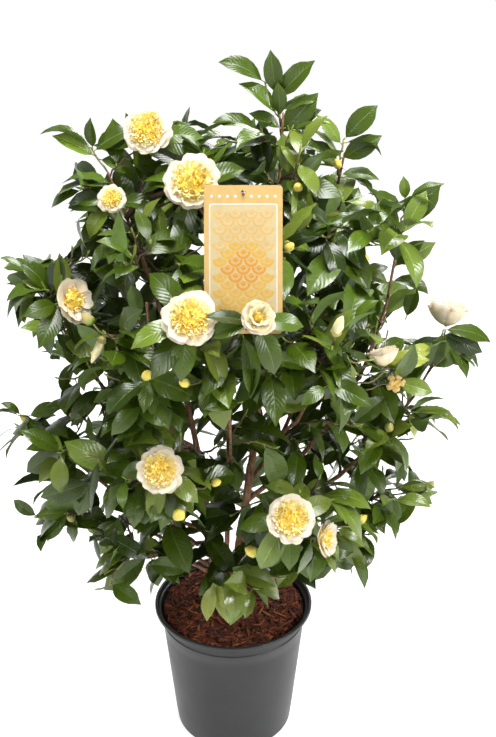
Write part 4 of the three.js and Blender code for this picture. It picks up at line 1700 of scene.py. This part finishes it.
def bud_material(name, colour, clouds):
    made = material(name, colour, 0.5)
    link(made, ramp(made, noise(made, 150.0, 2.0), (0.35, clouds), (0.6, colour)), "Base Color")
    bump(made, noise(made, 300.0), 0.15, 0.0008)
    return made


def make_buds(wood, shoots, bud_twigs):
    """Round flower buds at their places and some shoot tips, and slim leaf buds at the rest."""
    bag = Bag("buds", [bud_material(*row) for row in BUD_TINTS])
    for n, ((place, size), twig) in enumerate(zip(BUD_ROWS, bud_twigs)):
        way = unit(place - wood.place[twig[-2]])
        kind = FLOWER_BUD if n % 5 else TINGED_BUD
        add_bud(bag, place - way * size * 0.5, way, size * 0.88, size * 1.12, kind)
        add_bud(bag, place - way * size * 0.55, way, size * 0.86, size * 0.62, LEAF_BUD)
    for place, way, width, length in OPENING_ROWS:
        add_bud(bag, place, way, width, length, OPENING_BUD)
        add_bud(bag, place - way * 0.003, way, width * 1.06, length * 0.42, TINGED_BUD)
    for twig, _, depth in shoots:
        tip = wood.place[twig[-1]]
        last = tip - wood.place[twig[-2]]
        heading = unit(last + 0.3 * UP * np.linalg.norm(last))
        if depth < 0.05 and dice.random() < 0.06:
            size = dice.uniform(0.010, 0.015)
            beside = unit(heading + dice.normal(0, 0.6, 3))
            add_bud(bag, tip + beside * 0.001, beside, size * 0.9, size * 1.15, FLOWER_BUD)
            add_bud(bag, tip, beside, size * 0.88, size * 0.7, LEAF_BUD)
        width, length = dice.uniform(0.0026, 0.0036), dice.uniform(0.008, 0.013)
        add_bud(bag, tip - heading * 0.001, heading, width, length, LEAF_BUD)
    bag.build()


# ---- The hanging card ----

CARD_TINTS = {
    "card_apricot": (0.42, 0.280, 0.100),
    "card_white": (0.47, 0.45, 0.41),
    "card_cream": (0.40, 0.32, 0.17),
    "card_peach": (0.42, 0.28, 0.10),
    "card_yellow": (0.42, 0.26, 0.045),
    "card_amber": (0.41, 0.19, 0.030),
}
GROUND, WHITE, CARD_CREAM, PEACH, YELLOW, AMBER = range(6)
SCALLOP = 0.0104
CARD_THICK, PRINT_THICK = 0.0007, 0.0001
CARD_BORDER, CARD_HEAD, CARD_CORNER = 0.0065, 0.024, 0.005
# the hole's place on the card and its radius
HOLE = (0.0, CARD_HALF_HEIGHT - 0.009, 0.0027)
PANEL_TOP, PANEL_FOOT = CARD_HALF_HEIGHT - CARD_HEAD, -CARD_HALF_HEIGHT + CARD_BORDER
PANEL_HALF, PANEL_REACH = CARD_HALF_WIDTH - CARD_BORDER, (PANEL_TOP - PANEL_FOOT) / 2


def on_card(flat, lift):
    """Points over the card, which has a gentle bend, from points in metres across and up it."""
    x, y = flat[:, 0] / CARD_HALF_WIDTH, flat[:, 1] / CARD_HALF_HEIGHT
    bow = 0.0012 * (1 - x**2) + 0.0016 * np.cos(y * 1.6)
    along = CARD_ACROSS * (x * CARD_HALF_WIDTH)[..., None] + CARD_UP * (y * CARD_HALF_HEIGHT)[..., None]
    return CARD_AT + along + CARD_OUT * (bow - 0.0014 + lift)[..., None]


def outline_of(half_x, half_y, corner, middle_y=0.0, pitch=0.006):
    """A rounded rectangle's outline in metres, counter-clockwise, with points along its sides."""
    corners = []
    for k, (sx, sy) in enumerate([(1, -1), (1, 1), (-1, 1), (-1, -1)]):
        x, y = sx * (half_x - corner), middle_y + sy * (half_y - corner)
        corners += arc(x, y, corner, -90 + 90 * k, 90 * k, 7)
    corners = np.array(corners)
    points = []
    for a, b in zip(corners, np.roll(corners, -1, axis=0)):
        steps = max(1, int(np.linalg.norm(b - a) / pitch))
        points += [a + (b - a) * i / steps for i in range(steps)]
    return np.array(points)


def add_patch(bag, outline, lift, thickness, slot, hole=None):
    """A thin solid shape that follows the card: rings from its outline to its middle or hole."""
    n = len(outline)
    middle = outline.mean(0) if hole is None else np.array(hole[:2])
    inner = middle + unit(outline - middle) * (0.0002 if hole is None else hole[2])
    shares = np.linspace(1, 0, 7 if n > 40 else 3)
    flat = np.concatenate([outline * share + inner * (1 - share) for share in shares])
    points = np.concatenate([on_card(flat, lift), on_card(flat, lift - thickness)])
    top = grid_faces(len(shares), n, wrap=True)
    this = np.arange(n)
    after = (this + 1) % n
    size, last = len(flat), (len(shares) - 1) * n
    rim = np.stack([size + this, size + after, after, this], -1)
    bore = np.stack([last + this, last + after, size + last + after, size + last + this], -1)
    bag.add(points, np.concatenate([top, top[:, ::-1] + size, rim, bore]), slot)


def card_material(name, colour):
    """Coated card with a printed grain."""
    made = mottled(name, colour, 0.38, 110, 0.05, Specular_IOR_Level=0.45)
    bump(made, noise(made, 1200.0, 2.0), 0.05, 0.0002)
    return made


def add_scallop(bag, x, y, share, lift):
    """Three nested scallops, warmer toward the middle of the panel and its foot."""
    glow = math.exp(-(((share - 0.55) / 0.26) ** 2)) * math.exp(-((x / 0.035) ** 2))
    base = AMBER if glow > 0.55 else (YELLOW if glow > 0.25 or share > 0.72 else PEACH)
    for size, kind in ((0.94, base), (0.62, CARD_CREAM if base == PEACH else PEACH), (0.34, base)):
        radius = SCALLOP * size
        outline = np.array(arc(x, y, radius, 180, 360, 17) + arc(x, y, radius * 0.35, 20, 160, 6))
        add_patch(bag, outline, lift + 0.00010 * (1 - size), PRINT_THICK, kind)


def make_card():
    """A card with a punched hole, a row of dots and a pattern of scallops in an apricot frame."""
    bag = Bag("hanging_card", [card_material(*row) for row in CARD_TINTS.items()])
    whole = outline_of(CARD_HALF_WIDTH, CARD_HALF_HEIGHT, CARD_CORNER)
    add_patch(bag, whole, 0.0, CARD_THICK, GROUND, HOLE)
    middle = (PANEL_TOP + PANEL_FOOT) / 2
    add_patch(bag, outline_of(PANEL_HALF, PANEL_REACH, 0.004, middle), 0.00012, PRINT_THICK, WHITE)
    panel = outline_of(PANEL_HALF - 0.0018, PANEL_REACH - 0.0018, 0.003, middle)
    add_patch(bag, panel, 0.00020, PRINT_THICK, CARD_CREAM)
    columns = int((2 * PANEL_HALF - 0.006) / (2 * SCALLOP))
    rows = int((2 * PANEL_REACH - 0.012) / SCALLOP)
    for row in range(rows):
        y = PANEL_TOP - 0.0055 - SCALLOP * (row + 0.6)
        for column in range(columns - row % 2):
            x = (column - (columns - 1 - row % 2) / 2) * 2 * SCALLOP
            add_scallop(bag, x, y, row / (rows - 1), 0.00024 + 0.00003 * (row % 2))
    for k in (-4, -3, -2, -1, 1, 2, 3, 4):
        dot = np.array(arc(k * 0.0105, CARD_HALF_HEIGHT - 0.0145, 0.0021, 0, 360, 27)[:26])
        add_patch(bag, dot, 0.00012, PRINT_THICK, WHITE)
    made = bag.build(smooth=False)
    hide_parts("plant_label")


# ---- All together ----


def make_plant():
    paths = make_bark(bark_material())
    wood, bloom_twigs, leader_twigs, shoots = grow_crown(paths)
    bud_twigs = [grow_twig(wood, place, UP, 0.03) for place, _ in BUD_ROWS]
    foliage = Foliage(Openings(paths))
    dress_blooms(foliage)
    for twig, (_, _, leaves) in zip(leader_twigs, LEADERS):
        dress_leader(foliage, wood, twig, leaves)
        way = unit(wood.place[twig[-1]] * FLAT)
        dress_shoot(foliage, wood, twig, way, LEADING, bare=leaves[-1][0] / 1000 + 0.018, reach=0.17)
    for twig, (_, _, way, _) in zip(bloom_twigs, BLOOM_ROWS):
        dress_shoot(foliage, wood, twig, way, 0.02, most=6, bare=0.008)
    bare_tips = set()
    for twig, way, depth in sorted(shoots, key=lambda shoot: shoot[2] != LEADING):
        lead = {"most": 10, "reach": 0.16} if depth == LEADING else {}
        if dress_shoot(foliage, wood, twig, way, depth, **lead) < 2:
            bare_tips.add(twig[-1])
    for twig in bud_twigs:
        dress_shoot(foliage, wood, twig, unit(wood.place[twig[-1]] * FLAT), 0.04, most=3, bare=0.012)
    twigs = bloom_twigs + leader_twigs + bud_twigs + [twig for twig, _, _ in shoots]
    twigs += [stalk_to(wood, foot, way) for foot, way, _, _ in OPENING_ROWS]
    make_twigs(wood, used_twigs(twigs, bare_tips), foliage)
    make_leaves(foliage, leaf_materials())
    make_blooms()
    make_buds(wood, [shoot for shoot in shoots if shoot[0][-1] not in bare_tips], bud_twigs)


make_camera()
make_studio()
make_pot(pot_plastic())
make_mulch()
make_plant()
make_card()
